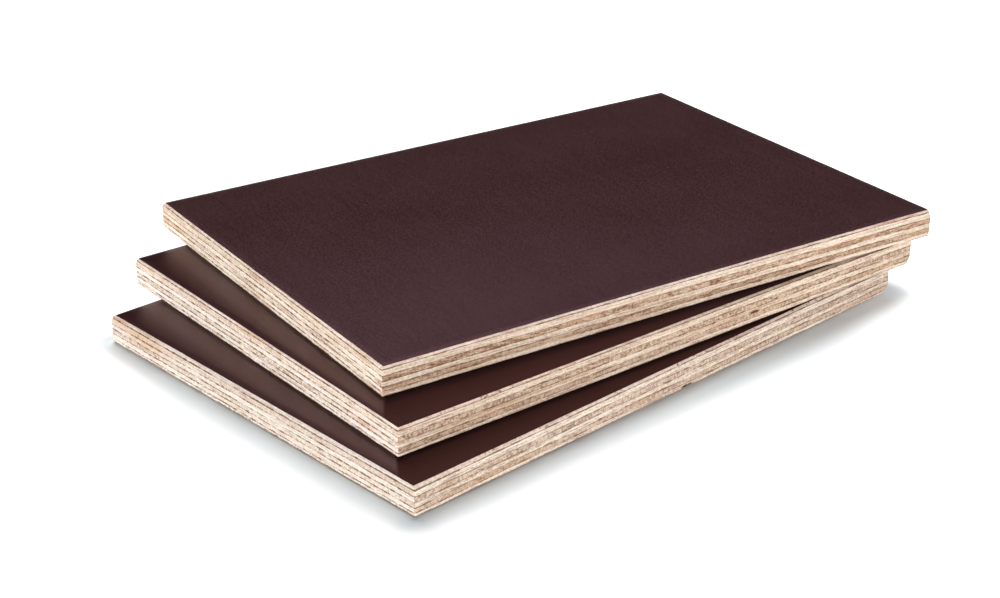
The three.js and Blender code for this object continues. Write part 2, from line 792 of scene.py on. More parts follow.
class SharedEffects:
    """The node groups that more than one finish uses, each built once."""

    def __init__(self) -> None:
        """Builds every group."""
        self.side_grain = self._side_grain()
        self.end_grain = self._end_grain()
        self.lathe_checks = self._lathe_checks()
        self.glue_line = self._glue_line()

    @staticmethod
    def _group(
        name: str, numbers: tuple[str, ...], outputs: tuple[str, ...]
    ) -> tuple[bpy.types.NodeTree, Graph, Sockets, Sockets]:
        """Makes an empty group that takes a Position, a Seed and some more numbers.

        Args:
            name: The group's name.
            numbers: The names of those numbers.
            outputs: The names of its outputs, all of them plain numbers.

        Returns:
            The tree, a Graph on it, its input node's outputs and its output node's inputs.
        """
        tree = bpy.data.node_groups.new(name, "ShaderNodeTree")
        tree.interface.new_socket("Position", in_out="INPUT", socket_type="NodeSocketVector")
        for label in ("Seed", *numbers):
            tree.interface.new_socket(label, in_out="INPUT", socket_type="NodeSocketFloat")
        for label in outputs:
            tree.interface.new_socket(label, in_out="OUTPUT", socket_type="NodeSocketFloat")
        entry = tree.nodes.new("NodeGroupInput")
        leave = tree.nodes.new("NodeGroupOutput")
        return tree, Graph(tree), entry.outputs, leave.inputs

    def _side_grain(self) -> bpy.types.NodeTree:
        """Fibres cut along their length: long soft streaks and short vessel dashes.

        Returns:
            The group, which gives a Tone and Dashes.
        """
        tree, graph, given, result = self._group("Side grain", (), ("Tone", "Dashes"))
        position, seed = given["Position"], given["Seed"]
        broad = graph.noise(graph.stretched(position, 70, 9, 1.5), seed, detail=3)
        fine = graph.noise(graph.stretched(position, 36, 6, 0.5), seed, detail=2, roughness=0.6)
        nap = graph.noise(graph.stretched(position, 1.7, 1.7, 0.8), seed, detail=1)
        dash = graph.noise(graph.stretched(position, 4.5, 2, 0.5), seed, detail=1)
        even_tone, ring_tone = 0.26, 0.4
        tone = graph.layered(even_tone, (broad, 1.1), (fine, 1.7), (nap, 1.4))
        lines = self._ring_lines(graph, position, seed)
        tone = graph.math("MULTIPLY_ADD", lines, ring_tone, tone)
        graph.feed(result["Tone"], graph.math("ADD", tone, 0.0, clamp=True))
        graph.feed(result["Dashes"], graph.step(dash, low=0.62, high=0.74))
        return tree

    def _end_grain(self) -> bpy.types.NodeTree:
        """Fibres cut across: upright rays, flat growth rings and open pores.

        Returns:
            The group, which gives a Tone and Pores.
        """
        tree, graph, given, result = self._group("End grain", ("Ticks",), ("Tone", "Pores"))
        position, seed, ticks = given["Position"], given["Seed"], given["Ticks"]
        rays = graph.noise(graph.stretched(position, 7, 1.3, 2.4), seed, detail=1)
        rings = graph.noise(graph.stretched(position, 60, 22, 0.6), seed, detail=3)
        patch = graph.noise(graph.stretched(position, 60, 15, 5), seed, detail=2)
        pores = graph.noise(graph.stretched(position, 5, 1.7, 0.9), seed, detail=1)
        fine = graph.noise(graph.stretched(position, 5, 1.1, 0.9), seed, detail=1)
        even_tone, ring_tone = 0.24, 0.5
        ray_amount = graph.math("MULTIPLY", ticks, 0.9)
        fine_amount = graph.math("MULTIPLY", ticks, 1.1)
        tone = graph.layered(
            even_tone, (rays, ray_amount), (rings, 1.7), (patch, 0.9), (fine, fine_amount)
        )
        lines = self._ring_lines(graph, position, seed)
        tone = graph.math("MULTIPLY_ADD", lines, ring_tone, tone)
        graph.feed(result["Tone"], graph.math("ADD", tone, 0.0, clamp=True))
        rarest, crowding, softness = 0.78, -0.3, 0.09
        crowd = graph.math("MULTIPLY_ADD", patch, crowding, rarest)
        open_pores = graph.step(pores, crowd, graph.math("ADD", crowd, softness))
        graph.feed(result["Pores"], graph.math("MULTIPLY", open_pores, ticks, clamp=True))
        return tree

    @staticmethod
    def _ring_lines(graph: Graph, position: Socket, seed: Value) -> Socket:
        """Thin broken lines, which the growth rings leave along a peeled veneer's edge.

        Args:
            graph: The group's graph.
            position: Where they are read, with the grain along X.
            seed: What sets one veneer's lines apart from another's.

        Returns:
            How strongly a line shows, from 0 to 1.
        """
        rings = graph.noise(graph.stretched(position, 45, 30, 0.95), seed, detail=2)
        broken = graph.noise(graph.stretched(position, 9, 6, 1.2), seed, detail=1)
        off_line = graph.math("ABSOLUTE", graph.math("SUBTRACT", rings, 0.5))
        line = graph.step(off_line, low=0.06, high=0.02)
        unbroken = graph.step(broken, low=0.35, high=0.55)
        return graph.math("MULTIPLY", line, unbroken)

    def _lathe_checks(self) -> bpy.types.NodeTree:
        """Fine leaning cracks that the peeling knife opens in a veneer.

        Returns:
            The group, which gives Cracks and the soft Shade beside them.
        """
        tree, graph, given, result = self._group(
            "Lathe checks", ("Lean", "Spacing", "Amount"), ("Cracks", "Shade")
        )
        position, seed, spacing = given["Position"], given["Seed"], given["Spacing"]
        _, across, up = graph.separate(position)
        wobble = graph.noise(graph.stretched(position, 90, 8, 1.6), seed, detail=2)
        place = graph.math("MULTIPLY_ADD", up, given["Lean"], across)
        place = graph.offset(place, wobble, amount=3.4)
        reach = graph.noise(graph.stretched(position, 90, 12, 1.7), seed, detail=1)
        open_here = graph.step(reach, low=0.25, high=0.55)
        opened = graph.math("MULTIPLY", open_here, given["Amount"], clamp=True)
        core_width, widening, shade_reach, shade_core, shade_depth = 0.2, 0.7, 0.25, 0.3, 0.5
        cracks, shades = [], []
        for share, strength in ((1.0, 1.0), (0.31, 0.65)):
            width = graph.math("MULTIPLY", spacing, share)
            distance, chance = self._nearest_check(graph, place, width, seed)
            here = graph.math("MULTIPLY", graph.step(chance, low=0.0, high=0.6), opened)
            here = graph.math("MULTIPLY", here, strength)
            half_width = graph.math("MULTIPLY_ADD", reach, widening, core_width)
            crack = graph.step(distance, half_width, core_width)
            cracks.append(graph.math("MULTIPLY", crack, here))
            shade = graph.step(distance, graph.math("MULTIPLY", width, shade_reach), shade_core)
            shade = graph.math("MULTIPLY", shade, here)
            shades.append(graph.math("MULTIPLY", shade, shade_depth))
        graph.feed(result["Cracks"], graph.math("MAXIMUM", *cracks))
        graph.feed(result["Shade"], graph.math("MAXIMUM", *shades))
        return tree

    @staticmethod
    def _nearest_check(
        graph: Graph, place: Socket, spacing: Socket, seed: Value
    ) -> tuple[Socket, Socket]:
        """Finds the check nearest to a place along an edge.

        Args:
            graph: The group's graph.
            place: The place, in mm.
            seed: What sets one row of checks apart from another.
        """
        cells = graph.node("TexVoronoi", voronoi_dimensions="1D")
        cell_place = graph.math("DIVIDE", place, spacing)
        graph.feed(cells.inputs["W"], graph.math("ADD", cell_place, seed))
        cells.inputs["Scale"].default_value = 1.0
        cells.inputs["Randomness"].default_value = 0.9
        distance = graph.math("MULTIPLY", cells.outputs["Distance"], spacing)
        return distance, graph.separate(cells.outputs["Color"])[0]

    def _glue_line(self) -> bpy.types.NodeTree:
        """Dark glue that shows here and there along a joint.

        Returns:
            The group, which gives a Mask.
        """
        tree, graph, given, result = self._group(
            "Glue line", ("Distance", "Amount", "Broken"), ("Mask",)
        )
        position, seed, amount = given["Position"], given["Seed"], given["Amount"]
        squeeze = graph.noise(graph.stretched(position, 9, 4, 30), seed, detail=3, roughness=0.7)
        dash_seed = graph.math("ADD", seed, 9.0)
        dash_place = graph.stretched(position, 24, 8, 30)
        dash = graph.noise(dash_place, dash_seed, detail=3, roughness=0.65)
        dot = graph.noise(graph.stretched(position, 2.6, 2.2, 30), seed, detail=1)
        stretch = graph.noise(graph.stretched(position, 60, 20, 30), seed, detail=1)
        thin, squeezed_out, full_share = 0.22, 0.6, 0.4
        squeezed = graph.step(squeeze, low=0.35, high=0.7)
        reach = graph.math("MULTIPLY_ADD", squeezed, squeezed_out, thin)
        line = graph.step(given["Distance"], reach, graph.math("MULTIPLY", reach, full_share))
        between_dashes, between_dots = 0.15, 0.5
        dashes = graph.step(dash, low=0.38, high=0.58)
        strength = graph.math("MULTIPLY_ADD", dashes, 1 - between_dashes, between_dashes)
        dots = graph.step(dot, low=0.35, high=0.6)
        dots = graph.math("MULTIPLY_ADD", dots, 1 - between_dots, between_dots)
        strength = graph.math("MULTIPLY", strength, dots)
        strength = graph.math("MAXIMUM", strength, graph.math("SUBTRACT", 1.0, given["Broken"]))
        stretches = graph.step(stretch, low=0.15, high=0.5)
        strength = graph.math("MULTIPLY", strength, stretches)
        strength = graph.math("MULTIPLY", strength, amount)
        graph.feed(result["Mask"], graph.math("MULTIPLY", line, strength, clamp=True))
        return tree


# --- Finishes ---------------------------------------------------------------------------


def new_material(name: str) -> tuple[bpy.types.Material, Graph, bpy.types.Node]:
    """Makes a material that holds only a Principled shader and its output.

    Args:
        name: The material's name.

    Returns:
        The material, a Graph on its nodes and the shader.
    """
    material = bpy.data.materials.new(name)
    material.use_nodes = True
    tree = material.node_tree
    return material, Graph(tree), tree.nodes["Principled BSDF"]


def panel_position(graph: Graph, place: PanelPlace) -> Socket:
    """Positions in millimetres from the panel's middle, with X along the panel.

    Args:
        graph: The material's graph.
        place: The panel's place.

    Returns:
        The position.
    """
    source = graph.node("TexCoord").outputs["Object"]
    centre = (place.centre_x, place.centre_y, 0)
    turn = (0, 0, place.turn)
    mapping = graph.node("Mapping", source, centre, turn, (MM, MM, MM), vector_type="TEXTURE")
    return mapping.outputs["Vector"]


def attribute(graph: Graph, name: str) -> Socket:
    """Reads a number that the mesh stores at its vertices."""
    return graph.node("Attribute", attribute_name=name).outputs["Fac"]


@dataclass(frozen=True)
class VeneerFinish:
    """The look of a sawn veneer edge.

    Attributes:
        side_light: Side grain where it is palest.
        side_dark: Side grain where it is darkest.
        end_light: End grain where it is palest.
        end_dark: End grain where it is darkest.
        tinted: The colour that the darker layers of this kind lean to.
        bleached: The colour that paled end grain leans to.
        facing: How far a face must look along the grain to show end grain.
        checks: How strongly the lathe checks show.
        ticks: How marked the pores and rays are, as a share of the panel's own.
        sawn: How far the panel's rough saw cut deepens the side grain.
        crack: The colour inside a lathe check.
        pore: The colour of an open pore.
        dash: The colour of a short vessel dash.
        rosy: What the colour is multiplied by where the wood is rosy.
        yellow: The same where it is yellow.
        glue: The colour of the glue.
        stain: The colour that stained wood leans to.
        void_shade: The colour inside a void, partly the wood's own and partly painted shade in the
            hollow.
        roughness: How blurred its faint gloss is.
        relief: How deep its fine relief is, in mm.
    """

    # How strongly each effect shows, from 0 to 1. Glue shows more at the two ends.
    TINTED_SHARE = 0.35
    BLEACHED_SHARE = 0.5
    DASH_SHARE = 0.5
    PORE_SHARE = 0.7
    STAINED_SHARE = 0.6
    GLUE_SHARE = 0.85
    GLUE_MORE_AT_ENDS = 0.3
    RELIEF_SHARE = 0.6
    GLOSS = 0.2
    # How much of the end grain's relief comes from its tone.
    END_RELIEF = 0.4
    # The tone that a rough saw cut leaves as it is, between darker and paler ones.
    SAWN_PIVOT = 0.45
    # The height, in mm, under which painted light from the floor makes the wood lighter.
    FLOOR_BOUNCE_FROM = 9.0
    # How far apart the veneers' seeds are, and what sets the later noises apart.
    SEED_STEP = 1.7
    BLUSH_SEED = 5
    SPECK_SEED = 6
    RAGGED_SEED = 7

    side_light: Colour
    side_dark: Colour
    end_light: Colour
    end_dark: Colour
    tinted: Colour = srgb(172, 134, 106)
    bleached: Colour = srgb(236, 216, 198)
    facing: tuple[float, float] = (0.35, 0.6)
    checks: float = 1.0
    ticks: float = 1.0
    sawn: float = 0.0
    crack: Colour = srgb(126, 84, 56)
    pore: Colour = srgb(124, 88, 62)
    dash: Colour = srgb(196, 158, 124)
    rosy: Colour = srgb(255, 242, 243)
    yellow: Colour = srgb(255, 255, 246)
    glue: Colour = srgb(116, 84, 56)
    stain: Colour = srgb(202, 154, 112)
    void_shade: Colour = srgb(100, 66, 46)
    roughness: float = 0.8
    relief: float = 0.15

    def material(self, leaf: "VeneerPiece", effects: SharedEffects) -> bpy.types.Material:
        """Builds the material of one veneer.

        Args:
            leaf: The veneer that wears it.
            effects: The shared node groups.

        Returns:
            The material.
        """
        material, graph, shader = new_material(leaf.name)
        position = panel_position(graph, leaf.place)
        x, y, z = graph.separate(position)
        grain_position = position
        if leaf.layer.grain is Grain.ACROSS:
            grain_position = graph.combine(y, x, z)
        seed = self.SEED_STEP * leaf.seed
        side = graph.group(effects.side_grain, Position=grain_position, Seed=seed)
        ticks = leaf.makeup.ticks * self.ticks
        end = graph.group(effects.end_grain, Position=grain_position, Seed=seed, Ticks=ticks)
        checks = self._checks(graph, effects, leaf, grain_position)
        at_ends = self._looking(graph, leaf.place.turn)
        end_share = at_ends
        if leaf.layer.grain is Grain.ACROSS:
            end_share = self._looking(graph, leaf.place.turn + math.pi / 2)

        deepened = self.sawn * leaf.makeup.sawn
        kept = -self.SAWN_PIVOT * deepened
        tone = graph.math("MULTIPLY_ADD", side.outputs["Tone"], 1 + deepened, kept, clamp=True)
        side_colour = graph.mix(tone, self.side_light, self.side_dark)
        dashes = graph.math("MULTIPLY", side.outputs["Dashes"], self.DASH_SHARE)
        side_colour = graph.mix(dashes, side_colour, self.dash)
        end_colour = self._end_colour(graph, leaf, end, checks)
        colour = graph.mix(end_share, side_colour, end_colour)
        # Partly the wood's tone and partly painted light and shade: the faces at the ends and along
        # the sides are each given their own brightness.
        wood = graph.mix(at_ends, leaf.makeup.side_tone_and_light, leaf.makeup.end_tone_and_light)
        colour = graph.mix(1.0, colour, wood, "MULTIPLY")
        # Painted light: the wood is lightened towards the underside, as the floor's bounce would
        # light it.
        low = graph.step(z, self.FLOOR_BOUNCE_FROM, 0.0)
        bounce_lift = graph.math("MULTIPLY_ADD", low, leaf.makeup.painted_floor_bounce, 1.0)
        colour = graph.mix(1.0, colour, graph.combine(bounce_lift, bounce_lift, bounce_lift), "MULTIPLY")
        colour = self._blushed(graph, colour, grain_position, seed)
        colour = self._stained(graph, colour, grain_position, seed)
        glue = self._glue(graph, effects, leaf, position)
        shows = graph.math("MULTIPLY_ADD", at_ends, self.GLUE_MORE_AT_ENDS, self.GLUE_SHARE)
        colour = graph.mix(graph.math("MULTIPLY", glue, shows, clamp=True), colour, self.glue)
        # Partly painted shade: the voids are darkened inside their hollows.
        colour = self._shade_voids(graph, colour, grain_position, seed)
        graph.feed(shader.inputs["Base Color"], colour)

        hollows = graph.math("MAXIMUM", end.outputs["Pores"], checks.outputs["Cracks"])
        whole = graph.math("SUBTRACT", 1.0, hollows)
        end_height = graph.math("MULTIPLY_ADD", end.outputs["Tone"], -self.END_RELIEF, whole)
        side_height = graph.math("SUBTRACT", 1.0, side.outputs["Tone"])
        height = graph.mix(end_share, side_height, end_height)
        graph.bump(shader, height, self.RELIEF_SHARE, self.relief)
        shader.inputs["Roughness"].default_value = self.roughness
        shader.inputs["Specular IOR Level"].default_value = self.GLOSS
        return material

    def _end_colour(
        self, graph: Graph, leaf: "VeneerPiece", end: bpy.types.Node, checks: bpy.types.Node
    ) -> Socket:
        """Colours the end grain, with its pores and lathe checks.

        Args:
            graph: The material's graph.
            leaf: The veneer that wears it.
            end: Its end grain.
            checks: Its lathe checks.

        Returns:
            The colour.
        """
        colour = graph.mix(end.outputs["Tone"], self.end_light, self.end_dark)
        colour = graph.mix(leaf.layer.tint * self.TINTED_SHARE, colour, self.tinted)
        colour = graph.mix(leaf.makeup.bleach * self.BLEACHED_SHARE, colour, self.bleached)
        pores = graph.math("MULTIPLY", end.outputs["Pores"], self.PORE_SHARE)
        colour = graph.mix(pores, colour, self.pore)
        colour = graph.mix(checks.outputs["Shade"], colour, self.dash, "MULTIPLY")
        return graph.mix(checks.outputs["Cracks"], colour, self.crack)

    def _checks(
        self, graph: Graph, effects: SharedEffects, leaf: "VeneerPiece", position: Socket
    ) -> bpy.types.Node:
        """Places the lathe checks of one veneer, whose lean changes along the edge.

        Args:
            graph: The material's graph.
            effects: The shared node groups.
            leaf: The veneer.
            position: The position, with the grain along X.

        Returns:
            The group node.
        """
        across = graph.separate(position)[1]
        lean = graph.math("MULTIPLY_ADD", across, leaf.layer.lean_change, leaf.layer.lean)
        opened = graph.math("ADD", attribute(graph, FlawKind.CRAZE.value), leaf.makeup.checks)
        return graph.group(
            effects.lathe_checks,
            Position=position,
            Seed=self.SEED_STEP * leaf.seed,
            Lean=lean,
            Spacing=leaf.layer.check_spacing,
            Amount=graph.math("MULTIPLY", opened, self.checks),
        )

    def _blushed(self, graph: Graph, colour: Socket, position: Socket, seed: float) -> Socket:
        """Turns the colour rosy or yellow here and there, as birch does.

        Args:
            graph: The material's graph.
            colour: The wood's colour.
            position: The position, with the grain along X.
            seed: What sets this veneer apart from others.

        Returns:
            The colour.
        """
        cloud_place = graph.stretched(position, 14, 10, 2)
        cloud = graph.noise(cloud_place, seed + self.BLUSH_SEED, detail=3, roughness=0.7)
        speck_place = graph.stretched(position, 1.4, 1.2, 1.0)
        speck = graph.noise(speck_place, seed + self.SPECK_SEED, detail=1)
        hue = graph.offset(cloud, speck, amount=0.8)
        tint = graph.mix(graph.step(hue, low=0.25, high=0.75), self.rosy, self.yellow)
        return graph.mix(1.0, colour, tint, "MULTIPLY")

    def _stained(self, graph: Graph, colour: Socket, position: Socket, seed: float) -> Socket:
        """Warms the colour in stained patches, unevenly.

        Args:
            graph: The material's graph.
            colour: The wood's colour.
            position: The position, with the grain along X.
            seed: What sets this veneer apart from others.

        Returns:
            The colour.
        """
        cloud = graph.noise(graph.stretched(position, 5, 2.2, 1.4), seed, detail=3, roughness=0.75)
        soaked = graph.step(cloud, low=0.3, high=0.6)
        patch = graph.math("MULTIPLY", attribute(graph, FlawKind.STAIN.value), soaked)
        return graph.mix(graph.math("MULTIPLY", patch, self.STAINED_SHARE), colour, self.stain)

    def _shade_voids(self, graph: Graph, colour: Socket, position: Socket, seed: float) -> Socket:
        """Darkens the voids up to a ragged rim, partly with painted shade in their hollows.

        Args:
            graph: The material's graph.
            colour: The wood's colour.
            position: The position, with the grain along X.
            seed: What sets this veneer apart from others.

        Returns:
            The colour.
        """
        rim_place = graph.stretched(position, 3, 1.1, 1.4)
        ragged = graph.noise(rim_place, seed + self.RAGGED_SEED, detail=1)
        void = graph.offset(attribute(graph, FlawKind.VOID.value), ragged, amount=1.2)
        return graph.mix(graph.step(void, low=0.3, high=0.9), colour, self.void_shade)

    @staticmethod
    def _glue(
        graph: Graph, effects: SharedEffects, leaf: "VeneerPiece", position: Socket
    ) -> Socket:
        """Puts glue along the joints below and above a veneer.

        Args:
            graph: The material's graph.
            effects: The shared node groups.
            leaf: The veneer.
            position: The position, with X along the panel.

        Returns:
            How much glue shows, from 0 to 1.
        """
        share = attribute(graph, VeneerPiece.SHARE)
        thick = leaf.face_length / MM
        from_below = graph.math("MULTIPLY", share, thick)
        from_above = graph.math("SUBTRACT", thick, from_below)
        masks = []
        for distance, line in ((from_below, leaf.below), (from_above, leaf.above)):
            if line is not None:
                made = graph.group(
                    effects.glue_line,
                    Distance=distance,
                    Position=position,
                    Seed=line.seed,
                    Amount=line.amount,
                    Broken=line.broken,
                )
                masks.append(made.outputs["Mask"])
        if len(masks) == 1:
            return masks[0]
        return graph.math("MAXIMUM", *masks)

    def _looking(self, graph: Graph, turn: float) -> Socket:
        """Tells the faces that look along a direction.

        Args:
            graph: The material's graph.
            turn: How far the direction is turned from +X, in radians.

        Returns:
            How far a face looks that way or the other, from 0 to 1.
        """
        normal = graph.node("NewGeometry").outputs["True Normal"]
        way = (math.cos(turn), math.sin(turn), 0)
        product = graph.node("VectorMath", normal, way, operation="DOT_PRODUCT")
        return graph.step(graph.math("ABSOLUTE", product.outputs["Value"]), *self.facing)


VENEER_FINISHES = {
    LayerKind.FACE: VeneerFinish(
        side_light=srgb(240, 232, 222),
        side_dark=srgb(196, 171, 153),
        end_light=srgb(250, 233, 222),
        end_dark=srgb(196, 166, 150),
        facing=(0.12, 0.3),
        checks=0.0,
        ticks=0.6,
    ),
    LayerKind.LONG: VeneerFinish(
        side_light=srgb(247, 236, 219),
        side_dark=srgb(184, 159, 136),
        end_light=srgb(255, 252, 240),
        end_dark=srgb(180, 148, 120),
        checks=0.1,
        ticks=0.6,
        sawn=1.0,
    ),
    LayerKind.CROSS: VeneerFinish(
        side_light=srgb(252, 248, 240),
        side_dark=srgb(210, 186, 161),
        end_light=srgb(229, 207, 183),
        end_dark=srgb(126, 94, 68),
        ticks=1.25,
    ),
}


@dataclass(frozen=True)
class FilmFinish:
    """The dark phenolic film, which handling has dulled along the front.

    Attributes:
        base: Its colour where it is glossy.
        dulled: Its colour where it is dulled.
        specular: How strongly it reflects.
        bending: Its index of refraction.
        tint: The colour of what it reflects when seen straight on.
        roughness: How blurred its gloss is.
        dull_roughness: How blurred that is where it is dulled.
        border: How far from the front the gloss ends at the left end, in mm.
        border_slope: How steeply the border leaves the left end.
        lift: How much lighter its lightest parts are.
        painted_light: Painted light and sheen, a lighter dulled colour at the front left corner,
            fading away from it.
        painted_light_reach: How far that painted light runs along the front and in from it, in mm.
        painted_contact_shade: Painted shade, a near-black colour close to the panel on top, where
            that panel shades the film.
        contact_shade_reach: How far that painted shade reaches from the edge of the panel, in mm.
    """

    # How much its cloudiness, its fine grain and its flecks show in its colour.
    CLOUD = 0.7
    GRAIN = 0.9
    FLECK = 4.4
    # How much the roughness varies, and how strong and how deep (mm) its relief is.
    ROUGHNESS_SPREAD = 0.08
    RELIEF_SHARE = 0.1
    RELIEF_DEPTH = 0.04
    FLECK_RELIEF = 0.5
    # How far the gloss's border wanders and how soft it is, in mm.
    BORDER_WANDER = 3.0
    BORDER_SOFTNESS = 2.0
    # How far below the panel on top the painted contact shade ends and is full, in mm.
    CONTACT_SHADE_ENDS = 9.0
    CONTACT_SHADE_FULL = 1.0

    base: Colour = srgb(32, 2, 3)
    dulled: Colour = srgb(48, 22, 19)
    specular: float = 0.5
    bending: float = 1.75
    tint: Colour = srgb(250, 176, 186)
    roughness: float = 0.33
    dull_roughness: float = 1.0
    border: float = 12.5
    border_slope: float = 1.3
    lift: Colour = srgb(18, 12, 12)
    painted_light: Colour = srgb(56, 31, 26)
    painted_light_reach: tuple[float, float] = (900.0, 26.0)
    painted_contact_shade: Colour = srgb(12, 0, 0)
    contact_shade_reach: float = 9.0

    def material(
        self, name: str, place: PanelPlace, cover: PanelPlace | None, seed: float
    ) -> bpy.types.Material:
        """Builds the film's material for one panel.

        Args:
            name: The material's name.
            place: The panel's place.
            cover: The place of the panel on top of it, if there is one.
            seed: What sets this film apart from others.

        Returns:
            The material.
        """
        material, graph, shader = new_material(name)
        position = panel_position(graph, place)
        cloud = graph.noise(graph.stretched(position, 80, 60, 60), seed, detail=3)
        grain = graph.noise(graph.stretched(position, 1.6, 26, 4), seed, detail=3, roughness=0.6)
        fleck = graph.noise(graph.stretched(position, 1.5, 1.5, 1.5), seed, detail=2, roughness=0.7)
        tone = graph.layered(0.5, (cloud, self.CLOUD), (grain, self.GRAIN), (fleck, self.FLECK))
        share = graph.step(tone, low=0.0, high=1.0)
        glossy = self._glossy(graph, position, place, cloud)
        # Painted light: the dulled colour is lightened towards the front left corner, a painted
        # sheen on the top film and, on the lower films, light painted away from the shade of the
        # panel on top.
        dulled = graph.mix(self._painted_light(graph, position, place), self.dulled, self.painted_light)
        colour = graph.mix(glossy, dulled, self.base)
        lift = graph.mix(share, BLACK, self.lift)
        colour = graph.mix(1.0, colour, lift, "ADD")
        # Painted shade: the film is darkened beside the panel on top, where that panel shades it.
        if cover:
            colour = graph.mix(self._contact_shade(graph, cover), colour, self.painted_contact_shade)
        graph.feed(shader.inputs["Base Color"], colour)
        rougher = self.dull_roughness - self.roughness
        smoothest = self.dull_roughness - self.ROUGHNESS_SPREAD / 2
        rough = graph.math("MULTIPLY_ADD", glossy, -rougher, smoothest)
        rough = graph.math("MULTIPLY_ADD", share, self.ROUGHNESS_SPREAD, rough)
        graph.feed(shader.inputs["Roughness"], rough)
        relief = graph.offset(grain, fleck, self.FLECK_RELIEF)
        graph.bump(shader, relief, self.RELIEF_SHARE, self.RELIEF_DEPTH)
        shader.inputs["Specular IOR Level"].default_value = self.specular
        shader.inputs["Specular Tint"].default_value = self.tint
        shader.inputs["IOR"].default_value = self.bending
        return material

    def _contact_shade(self, graph: Graph, cover: PanelPlace) -> Socket:
        """Tells the strip of the upper face beside the panel on top, where shade is painted.

        Args:
            graph: The material's graph.
            cover: The place of the panel on top.

        Returns:
            1 at that panel's edge, fading to 0 away from it.
        """
        along, across, up = graph.separate(panel_position(graph, cover))
        past_end = graph.math("SUBTRACT", graph.math("ABSOLUTE", along), cover.half_length / MM)
        past_side = graph.math("SUBTRACT", graph.math("ABSOLUTE", across), cover.half_width / MM)
        near = graph.step(graph.math("MAXIMUM", past_end, past_side), self.contact_shade_reach, 0.0)
        covered = cover.underside / MM
        on_top = graph.step(up, covered - self.CONTACT_SHADE_ENDS, covered - self.CONTACT_SHADE_FULL)
        return graph.math("MULTIPLY", near, on_top)

    def _painted_light(self, graph: Graph, position: Socket, place: PanelPlace) -> Socket:
        """Tells how much painted light a place gets.

        Args:
            graph: The material's graph.
            position: The position, with X along the panel.
            place: The panel's place.

        Returns:
            1 at the front left corner, fading to 0 away from it.
        """
        along, across, _ = graph.separate(position)
        from_end = graph.math("ADD", along, place.half_length / MM)
        from_front = graph.math("ADD", across, place.half_width / MM)
        reach = graph.stretched(graph.combine(from_end, from_front, 0.0), *self.painted_light_reach, 1.0)
        return graph.step(graph.length(reach), low=1.0, high=0.0)

    def _glossy(self, graph: Graph, position: Socket, place: PanelPlace, cloud: Socket) -> Socket:
        """Tells where the gloss is kept: along the left end, up to a slanting border.

        Args:
            graph: The material's graph.
            position: The position, with X along the panel.
            place: The panel's place.
            cloud: The film's cloudiness, which the border wanders with.

        Returns:
            1 where it is glossy and 0 where it is dulled.
        """
        along, across, _ = graph.separate(position)
        from_end = graph.math("ADD", along, place.half_length / MM)
        from_front = graph.math("ADD", across, place.half_width / MM - self.border)
        beyond = graph.math("MULTIPLY_ADD", from_end, -self.border_slope, from_front)
        wandering = graph.offset(beyond, cloud, self.BORDER_WANDER)
        return graph.step(wandering, -self.BORDER_SOFTNESS, self.BORDER_SOFTNESS)


# --- What sets the panels apart ---------------------------------------------------------


@dataclass(frozen=True)
class PanelMakeup:
    """What sets one panel apart: how it was laid up, sawn, sanded and used.

    Attributes:
        arris: How wide the sanded arris is.
        face_sag: How far the glue line under the upper face veneer lies off true.
        core_sag: The same for the glue lines in the core.
        lower_sag: The same for the glue line over the lower face veneer.
        film: The film's finish.
        end_tone_and_light: What its wood's colour is multiplied by at the two ends, partly its tone
            and partly painted light and shade.
        side_tone_and_light: The same along the front and the back.
        painted_floor_bounce: Painted light, how much lighter its wood is made at the underside than
            halfway up, standing in for light from the floor.
        bleach: How far the end grain has paled, from 0 to 1.
        ticks: How marked the pores and rays of the end grain are.
        sawn: How roughly its long edges were sawn, from 0 to 1.
        checks: How marked the lathe checks are.
        flaws: The flaws in its edges.
        knocks: Its knocked corners.
    """

    arris: Girdle
    face_sag: Girdle
    core_sag: Girdle
    lower_sag: Girdle
    film: FilmFinish
    end_tone_and_light: Colour
    side_tone_and_light: Colour
    painted_floor_bounce: float
    bleach: float
    ticks: float
    sawn: float
    checks: float
    flaws: tuple[Flaw, ...]
    knocks: tuple[Knock, ...]


# The width of arris that leaves the film's rim where the solid has it.
TRUE_ARRIS = 1.9
EVEN_RUN = Run(TRUE_ARRIS, TRUE_ARRIS, TRUE_ARRIS)
EVEN_ARRIS = Girdle(EVEN_RUN, EVEN_RUN, TRUE_ARRIS)

